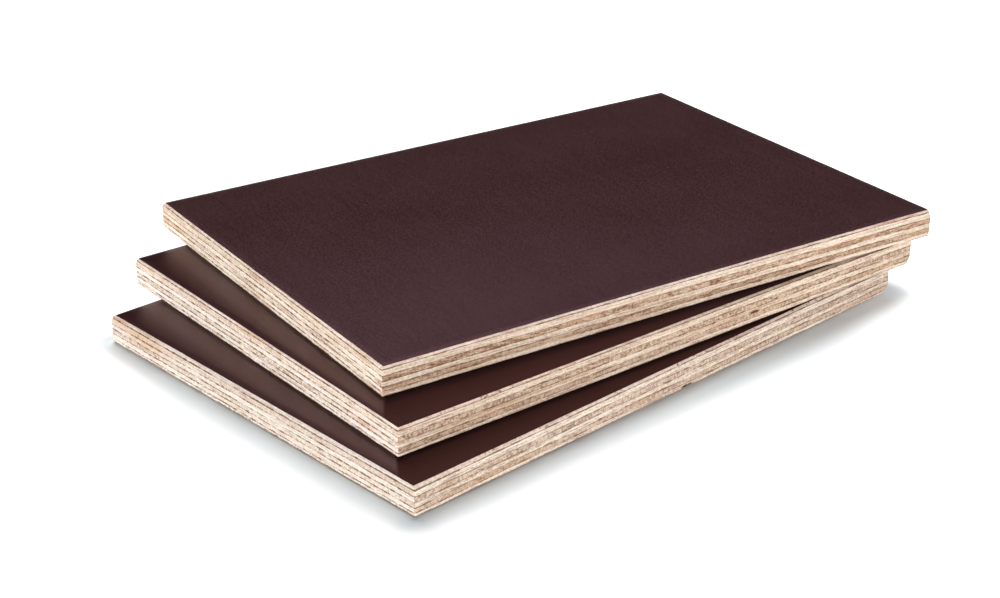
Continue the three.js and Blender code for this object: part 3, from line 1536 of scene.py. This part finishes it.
LEFT_END, FRONT = Side.LEFT_END, Side.FRONT
MAKEUPS = {
    "bottom": PanelMakeup(
        arris=Girdle(Run(2.3, 1.7, 0.8), Run(1.7, 1.85, 2.0), TRUE_ARRIS),
        face_sag=Girdle(Run(-0.2, -1.0, -1.5), Run(-1.5, -0.2, -1.2)),
        core_sag=Girdle(Run(-0.1, -0.6, -0.8), Run(-0.8, 0.2, -1.2)),
        lower_sag=Girdle(Run(0.3, -0.2, -0.3), Run(-0.3, -0.1, -0.4)),
        film=FilmFinish(tint=srgb(234, 165, 174), contact_shade_reach=4.0),
        end_tone_and_light=(0.83, 0.851, 0.877, 1.0),
        side_tone_and_light=(1.035, 1.04, 1.065, 1.0),
        painted_floor_bounce=0.12,
        bleach=0.8,
        ticks=3.8,
        sawn=0.6,
        checks=0.15,
        flaws=(
            Flaw(LEFT_END, 94, 5.8, 3.6, 1.1, 1.2),
            Flaw(LEFT_END, 59, 9.1, 2.6, 1.3, 0.28),
            Flaw(LEFT_END, 171, 12.2, 3.0, 1.1, 0.28),
            Flaw(LEFT_END, 198, 8.5, 2.0, 1.0, 0.21),
            Flaw(LEFT_END, 255, 2.1, 4.0, 0.9, 0.21),
            Flaw(FRONT, 208, 1.3, 6.0, 1.6, 2.2),
            Flaw(FRONT, 305, 13.2, 5.0, 1.2, 0.28),
            Flaw(FRONT, 275, 9.2, 3.0, 1.4, 0.32),
            stain(LEFT_END, 36, 13.2, 44, 9.5),
            stain(LEFT_END, 14, 16.8, 26, 2.0),
            stain(FRONT, 214, 1.7, 5.0, 1.8),
            stain(FRONT, 60, 4.6, 70, 2.6),
            stain(FRONT, 168, 5.0, 16, 2.4),
            stain(FRONT, 24, 11.3, 7, 3.0),
        ),
        knocks=(Knock((-1, 1), 17.2, 3.0, 2.0), Knock((1, -1), 1.0, 5.0, 5.5)),
    ),
    "middle": PanelMakeup(
        arris=Girdle(Run(1.9, 1.55, 0.85), Run(0.95, 2.65, 4.6), TRUE_ARRIS),
        face_sag=Girdle(Run(0.15, 0.15, -0.8), Run(-0.8, 0.6, 0.5)),
        core_sag=Girdle(Run(0.1, 0.1, -0.35), Run(-0.35, 0.95, 0.2)),
        lower_sag=Girdle(Run(0.5, 0.4, 0.15), Run(0.15, 0.35, 0.3)),
        film=FilmFinish(),
        end_tone_and_light=(0.984, 0.998, 1.028, 1.0),
        side_tone_and_light=(1.01, 0.968, 0.952, 1.0),
        painted_floor_bounce=0.0,
        bleach=0.62,
        ticks=3.3,
        sawn=0.45,
        checks=0.2,
        flaws=(
            Flaw(FRONT, 260, 6.8, 9.0, 2.6, 0.17),
            Flaw(FRONT, 190, 7.3, 4.0, 1.2, 0.35),
            Flaw(FRONT, 397, 6.4, 4.0, 1.4, 0.35),
            Flaw(FRONT, 229, 10.5, 5.0, 1.2, 0.32),
            Flaw(FRONT, 278, 10.4, 5.0, 1.2, 0.32),
            Flaw(LEFT_END, 172, 6.5, 9.0, 0.9, 0.21),
            Flaw(LEFT_END, 219, 6.2, 8.0, 0.9, 0.21),
            Flaw(LEFT_END, 40, 9.6, 10.0, 0.8, 0.14),
            stain(FRONT, 60, 7.6, 62, 3.6),
            stain(FRONT, 118, 8.6, 40, 2.0),
            stain(FRONT, 360, 5.2, 60, 1.6),
            stain(LEFT_END, 244, 7.6, 22, 3.2),
            stain(LEFT_END, 20, 16.2, 10, 2.6),
            stain(LEFT_END, 130, 16.6, 40, 1.8),
            stain(FRONT, 240, 7.8, 110, 1.8),
        ),
        knocks=(Knock((-1, 1), 17.6, 3.2, 3.0), Knock((1, -1), 1.5, 4.5, 2.6)),
    ),
    "top": PanelMakeup(
        arris=Girdle(Run(1.95, 1.75, 2.1), Run(1.7, 2.75, 1.9), TRUE_ARRIS),
        face_sag=Girdle(Run(-0.1, 0.3, -0.4), Run(-0.4, 0.5, -0.4)),
        core_sag=Girdle(Run(-0.2, 0.15, 0.1), Run(0.1, 0.65, -0.3)),
        lower_sag=Girdle(Run(0.6, 0.4, 0.2), Run(0.2, 0.0, -0.5)),
        film=FilmFinish(
            dulled=srgb(51, 27, 28),
            bending=1.5,
            tint=srgb(255, 168, 200),
            roughness=0.34,
            dull_roughness=0.34,
            lift=srgb(44, 32, 33),
            border=500.0,
            painted_light=srgb(65, 42, 45),
            painted_light_reach=(440.0, 230.0),
        ),
        end_tone_and_light=(0.98, 0.953, 0.932, 1.0),
        side_tone_and_light=(1.0, 0.97, 0.97, 1.0),
        painted_floor_bounce=0.0,
        bleach=0.0,
        ticks=1.15,
        sawn=0.0,
        checks=0.35,
        flaws=(
            Flaw(FRONT, 248, 16.8, 5.0, 1.1, 0.21),
            Flaw(FRONT, 325, 16.8, 3.0, 0.9, 0.14),
            Flaw(LEFT_END, 129, 9.2, 2.2, 1.4, 0.28),
            Flaw(LEFT_END, 95, 13.1, 4.0, 1.1, 0.21),
            Flaw(LEFT_END, 262, 6.5, 4.0, 1.0, 0.21),
            stain(LEFT_END, 6, 8.0, 16, 9.0),
            stain(LEFT_END, 26, 8.5, 34, 4.0),
            stain(LEFT_END, 254, 16.0, 16, 3.0),
            craze(FRONT, 230, 4.8, 190),
            craze(FRONT, 60, 11.2, 110),
            craze(FRONT, 190, 11.2, 90),
            craze(FRONT, 345, 11.2, 80),
            stain(FRONT, 130, 12.0, 26, 2.0),
            stain(FRONT, 390, 4.2, 24, 1.6),
            stain(FRONT, 396, 11.0, 12, 1.8),
            stain(FRONT, 330, 11.5, 34, 2.0),
        ),
        knocks=(
            Knock((-1, 1), 18.0, 2.6, 3.4),
            Knock((-1, 1), 0.5, 3.0, 1.8),
            Knock((1, -1), 16.8, 4.0, 2.4),
        ),
    ),
}


# --- Pieces -----------------------------------------------------------------------------


@dataclass
class VeneerPiece:
    """One veneer: a thin slab with wandering glue lines and a rough sawn edge.

    Attributes:
        name: The piece's name.
        layer: Which layer of the lay-up it is.
        place: Its panel's place.
        outline: Its heights and outlines.
        makeup: How its panel was made.
        below: The joint under it, if there is one.
        above: The joint on top of it, if there is one.
        seed: What sets its roughness apart from others'.
        spacing: How far apart the vertices along its edge are.
        corner: How far its upright corners are rounded.
        groove: How far its rims stand in at a joint.
        ring: How wide the flat ring inside its rims is.
        rows: The heights of its rows of vertices, as shares of its thickness.
        fibre: How big torn fibres are along the grain, across it and upward, in mm.
        tear: How deep the saw tears, in mm.
    """

    SHARE = "share_of_thickness"
    # How near its lower and upper rims the saw leaves it whole, as a share.
    WHOLE_RIM = 0.01

    name: str
    layer: Layer
    place: PanelPlace
    outline: LayerOutline
    makeup: PanelMakeup
    below: GlueLine | None
    above: GlueLine | None
    seed: int
    spacing: float = 0.9 * MM
    corner: float = 0.8 * MM
    groove: float = 0.04 * MM
    ring: float = 12 * MM
    rows: tuple[float, ...] = (0.0, 0.08, 0.3, 0.55, 0.8, 0.93, 1.0)
    fibre: tuple[float, float, float] = (8.0, 1.8, 1.2)
    tear: float = 0.09

    @property
    def face_length(self) -> float:
        """How wide the veneer's edge face is, measured up its slope."""
        run = abs(self.outline.half_high[0] - self.outline.half_low[0])
        return math.hypot(run, self.outline.thickness)

    def build(self) -> bpy.types.Object:
        """Models the veneer about the panel's middle.

        Returns:
            The piece, not yet in its panel's place.
        """
        piece = self._outline_loop()
        self._raise_edge()
        self._close(piece)
        self._shape(piece)
        bpy.ops.object.shade_smooth_by_angle(angle=SMOOTH_ANGLE)
        return piece

    def _outline_loop(self) -> bpy.types.Object:
        """Starts from a plane, rounds its corners and divides its sides evenly.

        Returns:
            The piece, still in edit mode, as a loop of edges.
        """
        deselect_all()
        half = self.outline.half_low
        bpy.ops.mesh.primitive_plane_add(size=2, location=(0, 0, 0))
        piece = bpy.context.object
        piece.name = self.name
        piece.data.name = self.name
        bpy.ops.object.mode_set(mode="EDIT")
        resize_in_plan(*half)
        bpy.ops.transform.translate(value=(0, 0, self.outline.low))
        bpy.ops.mesh.bevel(offset=self.corner, segments=3, affect="VERTICES")
        bpy.ops.mesh.delete(type="ONLY_FACE")
        for axis, length in enumerate(half):
            select_edges(piece, lambda edge: self._reach(edge, axis) > length)
            bpy.ops.mesh.subdivide(number_cuts=round(2 * length / self.spacing) - 1)
        return piece

    @staticmethod
    def _reach(edge: bmesh.types.BMEdge, axis: int) -> float:
        """How far an edge reaches along an axis."""
        return abs(edge.verts[0].co[axis] - edge.verts[1].co[axis])

    def _drawn(self, share: float) -> tuple[float, float]:
        """Half the outline's sides at a height, with a fine groove at the joints.

        Args:
            share: The height, as a share of the thickness.

        Returns:
            Half the length and half the width.
        """
        grooved = (share == 0.0 and self.below) or (share == 1.0 and self.above)
        inset = self.groove if grooved else 0.0
        half_x, half_y = self.outline.half_at(share)
        return half_x - inset, half_y - inset

    def _raise_edge(self) -> None:
        """Extrudes the outline upward row by row, following the layer's slope."""
        bpy.ops.mesh.select_all(action="SELECT")
        before = self.outline.half_low
        drawn = self._drawn(0.0)
        resize_in_plan(drawn[0] / before[0], drawn[1] / before[1])
        for lower, upper in zip(self.rows, self.rows[1:]):
            rise = (upper - lower) * self.outline.thickness
            bpy.ops.mesh.extrude_edges_move(TRANSFORM_OT_translate={"value": (0, 0, rise)})
            target = self._drawn(upper)
            resize_in_plan(target[0] / drawn[0], target[1] / drawn[1])
            drawn = target
        self._cap(drawn)

    def _cap(self, drawn: tuple[float, float]) -> None:
        """Closes the selected rim with a flat ring and a face inside it.

        Args:
            drawn: Half the rim's length and half its width.
        """
        bpy.ops.mesh.extrude_edges_move(TRANSFORM_OT_translate={"value": (0, 0, 0)})
        resize_in_plan((drawn[0] - self.ring) / drawn[0], (drawn[1] - self.ring) / drawn[1])
        bpy.ops.mesh.edge_face_add()

    def _close(self, piece: bpy.types.Object) -> None:
        """Caps the open lower rim and turns every face outward.

        Args:
            piece: The piece, in edit mode.
        """
        select_edges(piece, lambda edge: edge.is_boundary)
        self._cap(self._drawn(0.0))
        bpy.ops.mesh.select_all(action="SELECT")
        bpy.ops.mesh.normals_make_consistent(inside=False)
        bpy.ops.object.mode_set(mode="OBJECT")

    def _shape(self, piece: bpy.types.Object) -> None:
        """Marks the edge's vertices and moves them where the real edge strays.

        Args:
            piece: The closed piece.
        """
        points = [vertex.co.copy() for vertex in piece.data.vertices]
        shares = [self._share(point) for point in points]
        sides = [self._sides(point, share) for point, share in zip(points, shares)]
        marks = {self.SHARE: shares}
        for kind in FlawKind:
            flaws = [self._flaw(point, on, kind) for point, on in zip(points, sides)]
            marks[kind.value] = [here for here, depth in flaws]
            if kind is FlawKind.VOID:
                depths = [depth for here, depth in flaws]
        for name, values in marks.items():
            piece.data.attributes.new(name, "FLOAT", "POINT").data.foreach_set("value", values)
        edge = list(zip(points, shares, sides))
        shift(piece, "Z", [self._rise(*vertex) for vertex in edge])
        if self.layer.kind is LayerKind.FACE and self.above is None:
            shift(piece, "X", [self._arris(*vertex, axis=0) for vertex in edge])
            shift(piece, "Y", [self._arris(*vertex, axis=1) for vertex in edge])
        torn = [self._torn(*vertex) + depth for vertex, depth in zip(edge, depths)]
        knocked = [self._knocked(*vertex) for vertex in edge]
        for axis, direction in enumerate("XY"):
            amounts = [
                self._inward(on, axis) * depth + knock[axis]
                for on, depth, knock in zip(sides, torn, knocked)
            ]
            shift(piece, direction, amounts)

    @staticmethod
    def _inward(sides: list[Side], axis: int) -> int:
        """Which way is inward along an axis, from the sides a vertex lies on."""
        return -sum(side.value[1] for side in sides if side.value[0] == axis)

    def _share(self, point: Vector) -> float:
        """How far up the veneer a point is, from 0 to 1."""
        return min(max((point.z - self.outline.low) / self.outline.thickness, 0.0), 1.0)

    def _sides(self, point: Vector, share: float) -> list[Side]:
        """The sides that a vertex of the edge lies on."""
        return Side.of_point(point, self.outline.half_at(share), self.corner + self.groove)

    def _flaw(self, point: Vector, sides: list[Side], kind: FlawKind) -> tuple[float, float]:
        """Reads the flaws of one kind at a vertex.

        Args:
            point: The vertex.
            sides: The sides that it lies on.
            kind: The kind of flaw.

        Returns:
            How much flaw there is, from 0 to 1, and how deep it is, in metres.
        """
        share, depth = 0.0, 0.0
        for flaw in self.makeup.flaws:
            if flaw.kind is kind and flaw.side in sides:
                half = self.outline.half_low
                length = 2 * half[1 - flaw.side.value[0]] / MM
                along = flaw.side.share_along(point.x, point.y, half) * length
                here = flaw.share_at(along, (point.z - self.place.underside) / MM)
                share, depth = max(share, here), max(depth, here * flaw.depth * MM)
        return share, depth

    def _rise(self, point: Vector, share: float, sides: list[Side]) -> float:
        """How far a vertex moves up with the joints below and above it.

        Args:
            point: The vertex.
            share: How far up the veneer it is, from 0 to 1.
            sides: The sides that it lies on.

        Returns:
            The move, in metres.
        """
        if not sides:
            return 0.0
        along = sides[0].share_along(point.x, point.y, self.outline.half_low)
        rise = 0.0
        if self.below is not None:
            rise += (1 - share) * self.below.rise_at(point, sides[0], along)
        if self.above is not None:
            rise += share * self.above.rise_at(point, sides[0], along)
        return rise

    def _arris(self, point: Vector, share: float, sides: list[Side], axis: int) -> float:
        """How far a vertex of the bared face moves in with the film's rim."""
        return share * rim_shift(point, sides, axis, self.makeup.arris, self.outline.half_high)

    def _knocked(self, point: Vector, share: float, sides: list[Side]) -> tuple[float, float]:
        """How far a vertex moves where a corner has been knocked.

        Args:
            point: The vertex.
            share: How far up the veneer it is, from 0 to 1.
            sides: The sides that it lies on.

        Returns:
            The moves along X and Y, in metres.
        """
        moves = [0.0, 0.0]
        kept = 1.0
        if self.layer.kind is LayerKind.FACE:
            kept = share if self.below is None else 1 - share
        height = (point.z - self.place.underside) / MM
        for knock in self.makeup.knocks if sides else ():
            depth = kept * knock.depth_at(point, self.outline.half_at(share), height)
            for axis, way in enumerate(knock.ways):
                moves[axis] -= way * depth
        return moves[0], moves[1]

    def _torn(self, point: Vector, share: float, sides: list[Side]) -> float:
        """How deep the saw has torn at a vertex.

        Args:
            point: The vertex.
            share: How far up the veneer it is, from 0 to 1.
            sides: The sides that it lies on.

        Returns:
            The depth, in metres.
        """
        inside = self.WHOLE_RIM < share < 1 - self.WHOLE_RIM
        if not sides or not inside or self.layer.kind is LayerKind.FACE:
            return 0.0
        with_grain, across_grain, upward = self.fibre
        stretch = (with_grain, across_grain, upward)
        if self.layer.grain is Grain.ACROSS:
            stretch = (across_grain, with_grain, upward)
        fibres = Unevenness(stretch, self.tear, self.seed).at(point)
        return self.tear * MM - fibres


# The unevenness that hand sanding leaves in the arris, in mm.
SANDING_WAVE = 14.0
SANDING_DEPTH = 0.12
SANDING_SEED = 3.0


def rim_shift(
    point: Vector, sides: list[Side], axis: int, arris: Girdle, half: tuple[float, float]
) -> float:
    """How far the rim of the film stands in from its true place.

    Args:
        point: A vertex of the rim.
        sides: The sides that it lies on.
        axis: The axis that it moves along.
        arris: How wide the arris is.
        half: Half the sides of the true rim.

    Returns:
        The move along the axis, in metres.
    """
    for side in sides:
        if side.value[0] == axis:
            share = side.share_along(point.x, point.y, half)
            sanding = Unevenness((SANDING_WAVE,) * 3, SANDING_DEPTH, SANDING_SEED + axis)
            inset = (arris.run(side).at(share) - TRUE_ARRIS) * MM + sanding.at(point)
            return -side.value[1] * inset
    return 0.0


@dataclass
class FilmPiece:
    """A phenolic film: a thin sheet that ends, not quite evenly, at the arris.

    Attributes:
        name: The piece's name.
        outline: Its heights and outlines.
        arris: How wide the arris is.
        cell: How far apart its vertices are.
        on_rim: How near its rim a vertex counts as lying on it.
        soft_rim: How wide the softening of its upper rim is.
    """

    name: str
    outline: LayerOutline
    arris: Girdle
    cell: float = 5 * MM
    on_rim: float = 0.1 * MM
    soft_rim: float = 0.06 * MM

    def build(self) -> bpy.types.Object:
        """Models the film about the panel's middle.

        Returns:
            The piece, not yet in its panel's place.
        """
        deselect_all()
        half = self.outline.half_high
        bpy.ops.mesh.primitive_grid_add(
            x_subdivisions=round(2 * half[0] / self.cell),
            y_subdivisions=round(2 * half[1] / self.cell),
            size=2,
            location=(0, 0, 0),
        )
        piece = bpy.context.object
        piece.name = self.name
        piece.data.name = self.name
        bpy.ops.object.mode_set(mode="EDIT")
        resize_in_plan(*half)
        bpy.ops.transform.translate(value=(0, 0, self.outline.high))
        bpy.ops.object.mode_set(mode="OBJECT")
        points = [vertex.co.copy() for vertex in piece.data.vertices]
        sides = [Side.of_point(point, half, self.on_rim) for point in points]
        for axis, direction in enumerate("XY"):
            amounts = [
                rim_shift(point, on, axis, self.arris, half) for point, on in zip(points, sides)
            ]
            shift(piece, direction, amounts)
        self._thicken(piece)
        return piece

    def _thicken(self, piece: bpy.types.Object) -> None:
        """Gives the film its thickness and a soft upper rim.

        Args:
            piece: The film's upper face.
        """
        solid = piece.modifiers.new("thickness", "SOLIDIFY")
        solid.thickness = self.outline.thickness
        solid.offset = -1
        soft = piece.modifiers.new("soft rim", "BEVEL")
        soft.width = self.soft_rim
        soft.segments = 2
        soft.limit_method = "ANGLE"
        apply_modifiers(piece)
        bpy.ops.object.shade_smooth_by_angle(angle=SMOOTH_ANGLE)


@dataclass
class Panel:
    """One panel: its layers, in the order they were laid up.

    Attributes:
        name: The panel's name.
        number: Its number, from the bottom of the stack.
        cover: The name of the panel on top of it, or None.
        effects: The shared node groups.
    """

    # How far apart the seeds of the panels' films, veneers and joints are.
    FILM_SEED_STEP = 3.7
    VENEER_SEED_STEP = 20
    JOINT_SEED_STEP = 10.0
    # How much the joints of the thin face veneers wander, as a share of the others.
    FACE_WANDER = 0.6

    name: str
    number: int
    cover: str | None
    effects: SharedEffects

    def build(self) -> None:
        """Models and dresses every layer of the panel."""
        makeup = MAKEUPS[self.name]
        place = PanelPlace.of_panel(self.name)
        joints = self._joints(makeup)
        cover = PanelPlace.of_panel(self.cover) if self.cover else None
        film_seed = self.FILM_SEED_STEP * self.number
        film = makeup.film.material(f"{self.name}_film", place, cover, film_seed)
        for level, layer in enumerate(LAY_UP):
            node = f"{self.name}_panel_{layer.name}"
            outline = LayerOutline.of_node(node, place)
            if layer.kind is LayerKind.FILM:
                arris = makeup.arris if level else EVEN_ARRIS
                piece = FilmPiece(f"{node}_sheet", outline, arris).build()
                material = film
            else:
                seed = self.VENEER_SEED_STEP * self.number + level + 1
                edge = (joints[level - 1], joints[level], seed)
                leaf = VeneerPiece(f"{node}_leaf", layer, place, outline, makeup, *edge)
                piece = leaf.build()
                material = VENEER_FINISHES[layer.kind].material(leaf, self.effects)
            piece.data.materials.append(material)
            set_in_place(piece, place)
            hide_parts(node)
            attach(piece, BODY)
            LOG.info("%s: %d faces", piece.name, len(piece.data.polygons))

    def _joints(self, makeup: PanelMakeup) -> list[GlueLine | None]:
        """Lays out the joint on top of each layer.

        Args:
            makeup: How the panel was made.

        Returns:
            The joints from the bottom up, with None where a film lies flat.
        """
        calm = self.FACE_WANDER
        joints: list[GlueLine | None] = []
        for level, (lower, upper) in enumerate(zip(LAY_UP, LAY_UP[1:])):
            seed = self.JOINT_SEED_STEP * self.number + level
            if LayerKind.FILM in (lower.kind, upper.kind):
                joints.append(None)
            elif upper.kind is LayerKind.FACE:
                joints.append(GlueLine(makeup.face_sag, seed, amount=1.7, broken=0.35, wander=calm))
            elif lower.kind is LayerKind.FACE:
                joints.append(GlueLine(makeup.lower_sag, seed, wander=calm))
            else:
                joints.append(GlueLine(makeup.core_sag, seed))
        return joints + [None]


# --- Studio -----------------------------------------------------------------------------


@dataclass(frozen=True)
class Softbox:
    """A large soft lamp, far away.

    Attributes:
        name: The lamp's name.
        heading: Where it stands, clockwise from +Y, in degrees.
        height: How high it stands above the horizon, in degrees.
        spread: How wide it looks from the stack, in degrees.
        level: How bright a white face looks that is square to it, where 1 is white.
        colour: Its colour.
    """

    name: str
    heading: float
    height: float
    spread: float
    level: float
    colour: tuple[float, float, float] = (1.0, 1.0, 1.0)

    def hang(self) -> None:
        """Adds the lamp and aims it at the stack."""
        light = bpy.data.lights.new(self.name, "SUN")
        light.angle = math.radians(self.spread)
        light.energy = self.level * math.pi
        light.color = self.colour
        lamp = bpy.data.objects.new(self.name, light)
        bpy.context.scene.collection.objects.link(lamp)
        turn = Matrix.Rotation(-math.radians(self.heading), 4, "Z")
        tilt = Matrix.Rotation(-math.radians(90 - self.height), 4, "X")
        lamp.matrix_world = turn @ tilt
        lamp.visible_glossy = False


@dataclass
class Studio:
    """A white floor, soft lamps and a plain room.

    A pair of places says where an effect starts and where it is full. Places along X
    and Y are in metres, and distances from the stack are in millimetres.

    Attributes:
        floor_size: How long the floor's sides are, in metres.
        floor_and_shadow_tint: The floor's colour, which close to the stack tints its shadow cool, a
            painted shadow tint.
        floor_open_colour: Its colour away from the stack, in its left half.
        open_reach: How far from the stack that colour comes in.
        left_half: Where along X that half starts.
        floor_glow: How brightly the floor glows away from the stack, to look white; where it fades
            in, it is painted light that narrows the stack's shadow.
        glow_reach: How far from the stack the glow comes in.
        right_end: Where along X the glow grows towards the right, painted light that lifts the
            shadow there.
        right_glow: How much it grows there.
        narrow_right: Where along X the shadow is narrowed by painted light, the second past the
            right end.
        narrow_back: Where along Y it does, the second past the back.
        narrowing: How much farther off a place there counts as being, as a share.
        corner: Where along X and along Y the front left corner starts.
        corner_narrowing: How much farther off a place there counts as being.
        room: The colour of the room's light.
        walls: The heights where the mirrored walls fade out.
        ceiling: The heights where the mirrored ceiling comes in.
        ceiling_mirrored: How bright that ceiling is.
        softboxes: The lamps.
    """

    floor_size: float = 12.0
    floor_and_shadow_tint: Colour = (0.835, 0.9, 0.935, 1.0)
    floor_open_colour: Colour = (0.888, 0.9, 0.907, 1.0)
    open_reach: tuple[float, float] = (3.0, 20.0)
    left_half: tuple[float, float] = (0.1, -0.1)
    floor_glow: float = 0.5
    glow_reach: tuple[float, float] = (9.0, 35.0)
    right_end: tuple[float, float] = (0.1, 0.23)
    right_glow: float = 0.4
    narrow_right: tuple[float, float] = (0.1, 0.03)
    narrow_back: tuple[float, float] = (0.04, 0.01)
    narrowing: float = 0.7
    corner: tuple[float, float] = (-0.16, -0.1)
    corner_narrowing: float = 0.22
    room: Colour = (0.12, 0.122, 0.128, 1.0)
    walls: tuple[float, float] = (0.08, 0.03)
    ceiling: tuple[float, float] = (0.43, 0.85)
    ceiling_mirrored: float = 0.6
    softboxes: tuple[Softbox, ...] = (
        Softbox("overhead softbox", 38.0, 53.0, 54.0, 0.93),
        Softbox("left softbox", 271.0, 5.0, 7.0, 0.93),
        Softbox("front softbox", 179.0, 5.0, 7.0, 0.6),
    )

    def build(self) -> None:
        """Sets up the floor, the lamps and the room."""
        self._floor()
        for softbox in self.softboxes:
            softbox.hang()
        self._room()
        LOG.info("studio ready")

    def _floor(self) -> None:
        """Lays a white floor that keeps the stack's shadow."""
        deselect_all()
        bpy.ops.mesh.primitive_plane_add(size=self.floor_size, location=(0, 0, 0))
        floor = bpy.context.object
        floor.name = "studio_floor"
        material = bpy.data.materials.new("studio_floor")
        material.use_nodes = True
        graph = Graph(material.node_tree)
        output = material.node_tree.nodes["Material Output"]
        material.node_tree.nodes.remove(material.node_tree.nodes["Principled BSDF"])
        paint = graph.node("BsdfDiffuse")
        along, across, _ = graph.separate(graph.node("TexCoord").outputs["Object"])
        away = self._away_from_stack(graph, along, across)
        white = white_rays(graph)
        # Painted shadow tint: as seen, the floor keeps its cool colour only close to the stack,
        # where its shadow falls.
        opened = graph.step(away, *self.open_reach)
        opened = graph.math("MULTIPLY", opened, graph.step(along, *self.left_half))
        opened = graph.math("MULTIPLY", opened, white)
        floor_and_shadow_tint = graph.mix(opened, self.floor_and_shadow_tint, self.floor_open_colour)
        graph.feed(paint.inputs["Color"], floor_and_shadow_tint)
        # Painted light: the glow, seen straight or mirrored, fades in over the outer part of the
        # stack's shadow and lifts it at the right end.
        glow = graph.node("Emission")
        right_end = graph.step(along, *self.right_end)
        glowing = graph.step(away, *self.glow_reach)
        glowing = graph.math("MULTIPLY_ADD", right_end, self.right_glow, glowing)
        glowing = graph.math("MULTIPLY", glowing, self.floor_glow)
        graph.feed(glow.inputs["Strength"], graph.math("MULTIPLY", white, glowing))
        both = graph.node("AddShader", paint.outputs[0], glow.outputs[0])
        graph.feed(output.inputs["Surface"], both.outputs[0])
        floor.data.materials.append(material)

    def _away_from_stack(self, graph: Graph, along: Socket, across: Socket) -> Socket:
        """How far a place on the floor is from the stack, in mm.

        It counts for more where the soft shadow is narrow: at the right end, at the back
        and round the front left corner.

        Args:
            graph: The floor's node graph.
            along: The place along X, in metres.
            across: The place along Y, in metres.

        Returns:
            The distance.
        """
        ground = PanelPlace.of_panel("bottom")
        reach = []
        for place, half in ((along, ground.half_length), (across, ground.half_width)):
            before = graph.math("MULTIPLY_ADD", place, -1 / MM, -half / MM)
            after = graph.math("MULTIPLY_ADD", place, 1 / MM, -half / MM)
            reach.append(graph.math("MAXIMUM", graph.math("MAXIMUM", before, after), 0.0))
        distance = graph.length(graph.combine(*reach, 0.0))
        start, past_end = self.narrow_right
        right = graph.step(along, start, ground.half_length + past_end)
        start, past_back = self.narrow_back
        back = graph.step(across, start, ground.half_width + past_back)
        narrow = graph.math("MAXIMUM", right, back)
        factor = graph.math("MULTIPLY_ADD", narrow, self.narrowing, 1.0)
        left = graph.step(along, self.corner[0], -ground.half_length)
        front = graph.step(across, self.corner[1], -ground.half_width)
        corner = graph.math("MULTIPLY", left, front)
        factor = graph.math("MULTIPLY_ADD", corner, self.corner_narrowing, factor)
        return graph.math("MULTIPLY", distance, factor)

    def _room(self) -> None:
        """Sets up a room that lights the stack plainly and is mirrored in the films."""
        world = bpy.data.worlds.new("room")
        world.use_nodes = True
        bpy.context.scene.world = world
        graph = Graph(world.node_tree)
        background = world.node_tree.nodes["Background"]
        height = graph.separate(graph.node("TexCoord").outputs["Generated"])[2]
        walls = graph.step(height, *self.walls)
        ceiling = graph.step(height, *self.ceiling)
        ceiling = graph.math("MULTIPLY", ceiling, self.ceiling_mirrored)
        mirrored = graph.math("MAXIMUM", walls, ceiling)
        grey = graph.combine(mirrored, mirrored, mirrored)
        rays = graph.node("LightPath").outputs
        lit = graph.mix(rays["Is Glossy Ray"], self.room, grey)
        seen = graph.math("MAXIMUM", rays["Is Camera Ray"], rays["Is Transmission Ray"])
        graph.feed(background.inputs["Color"], graph.mix(seen, lit, WHITE))


def white_rays(graph: Graph) -> Socket:
    """Tells the rays that see the white background, straight or mirrored.

    Args:
        graph: The material's graph.

    Returns:
        1 for those rays and 0 for the light on the object.
    """
    rays = graph.node("LightPath").outputs
    mirrored = graph.math("MAXIMUM", rays["Is Glossy Ray"], rays["Is Transmission Ray"])
    return graph.math("MAXIMUM", rays["Is Camera Ray"], mirrored)


@dataclass(frozen=True)
class Viewpoint:
    """Where the camera stands and how it looks.

    Attributes:
        place: The camera's place.
        heading: Its heading, clockwise from +Y, in degrees.
        dip: How far it looks down, in degrees.
        roll: Its roll, in degrees.
        lens: Its focal length, in mm.
        sensor: How wide its sensor is, in mm.
        clip: How near and how far it sees.
    """

    place: tuple[float, float, float] = (-0.73182, -0.75687, 0.50125)
    heading: float = 43.635
    dip: float = 24.942
    roll: float = 0.228
    lens: float = 67.832
    sensor: float = 36.0
    clip: tuple[float, float] = (0.01, 100.0)

    def set_up(self) -> None:
        """Adds the camera and makes it the scene's own."""
        data = bpy.data.cameras.new("camera")
        data.sensor_fit = "HORIZONTAL"
        data.sensor_width = self.sensor
        data.lens = self.lens
        data.clip_start, data.clip_end = self.clip
        camera = bpy.data.objects.new("camera", data)
        bpy.context.scene.collection.objects.link(camera)
        turn = Matrix.Rotation(-math.radians(self.heading), 4, "Z")
        tilt = Matrix.Rotation(math.radians(90 - self.dip), 4, "X")
        roll = Matrix.Rotation(math.radians(self.roll), 4, "Z")
        camera.matrix_world = Matrix.Translation(self.place) @ turn @ tilt @ roll
        bpy.context.scene.camera = camera
        LOG.info("camera ready")


def main() -> None:
    """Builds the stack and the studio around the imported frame."""
    logging.basicConfig(level=logging.INFO, format="%(message)s")
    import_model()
    bpy.context.scene.view_settings.view_transform = "Standard"
    Viewpoint().set_up()
    effects = SharedEffects()
    names = list(MAKEUPS)
    for number, (name, cover) in enumerate(zip(names, names[1:] + [None]), start=1):
        Panel(name, number, cover, effects).build()
    Studio().build()
    deselect_all()


if __name__ == "__main__":
    main()
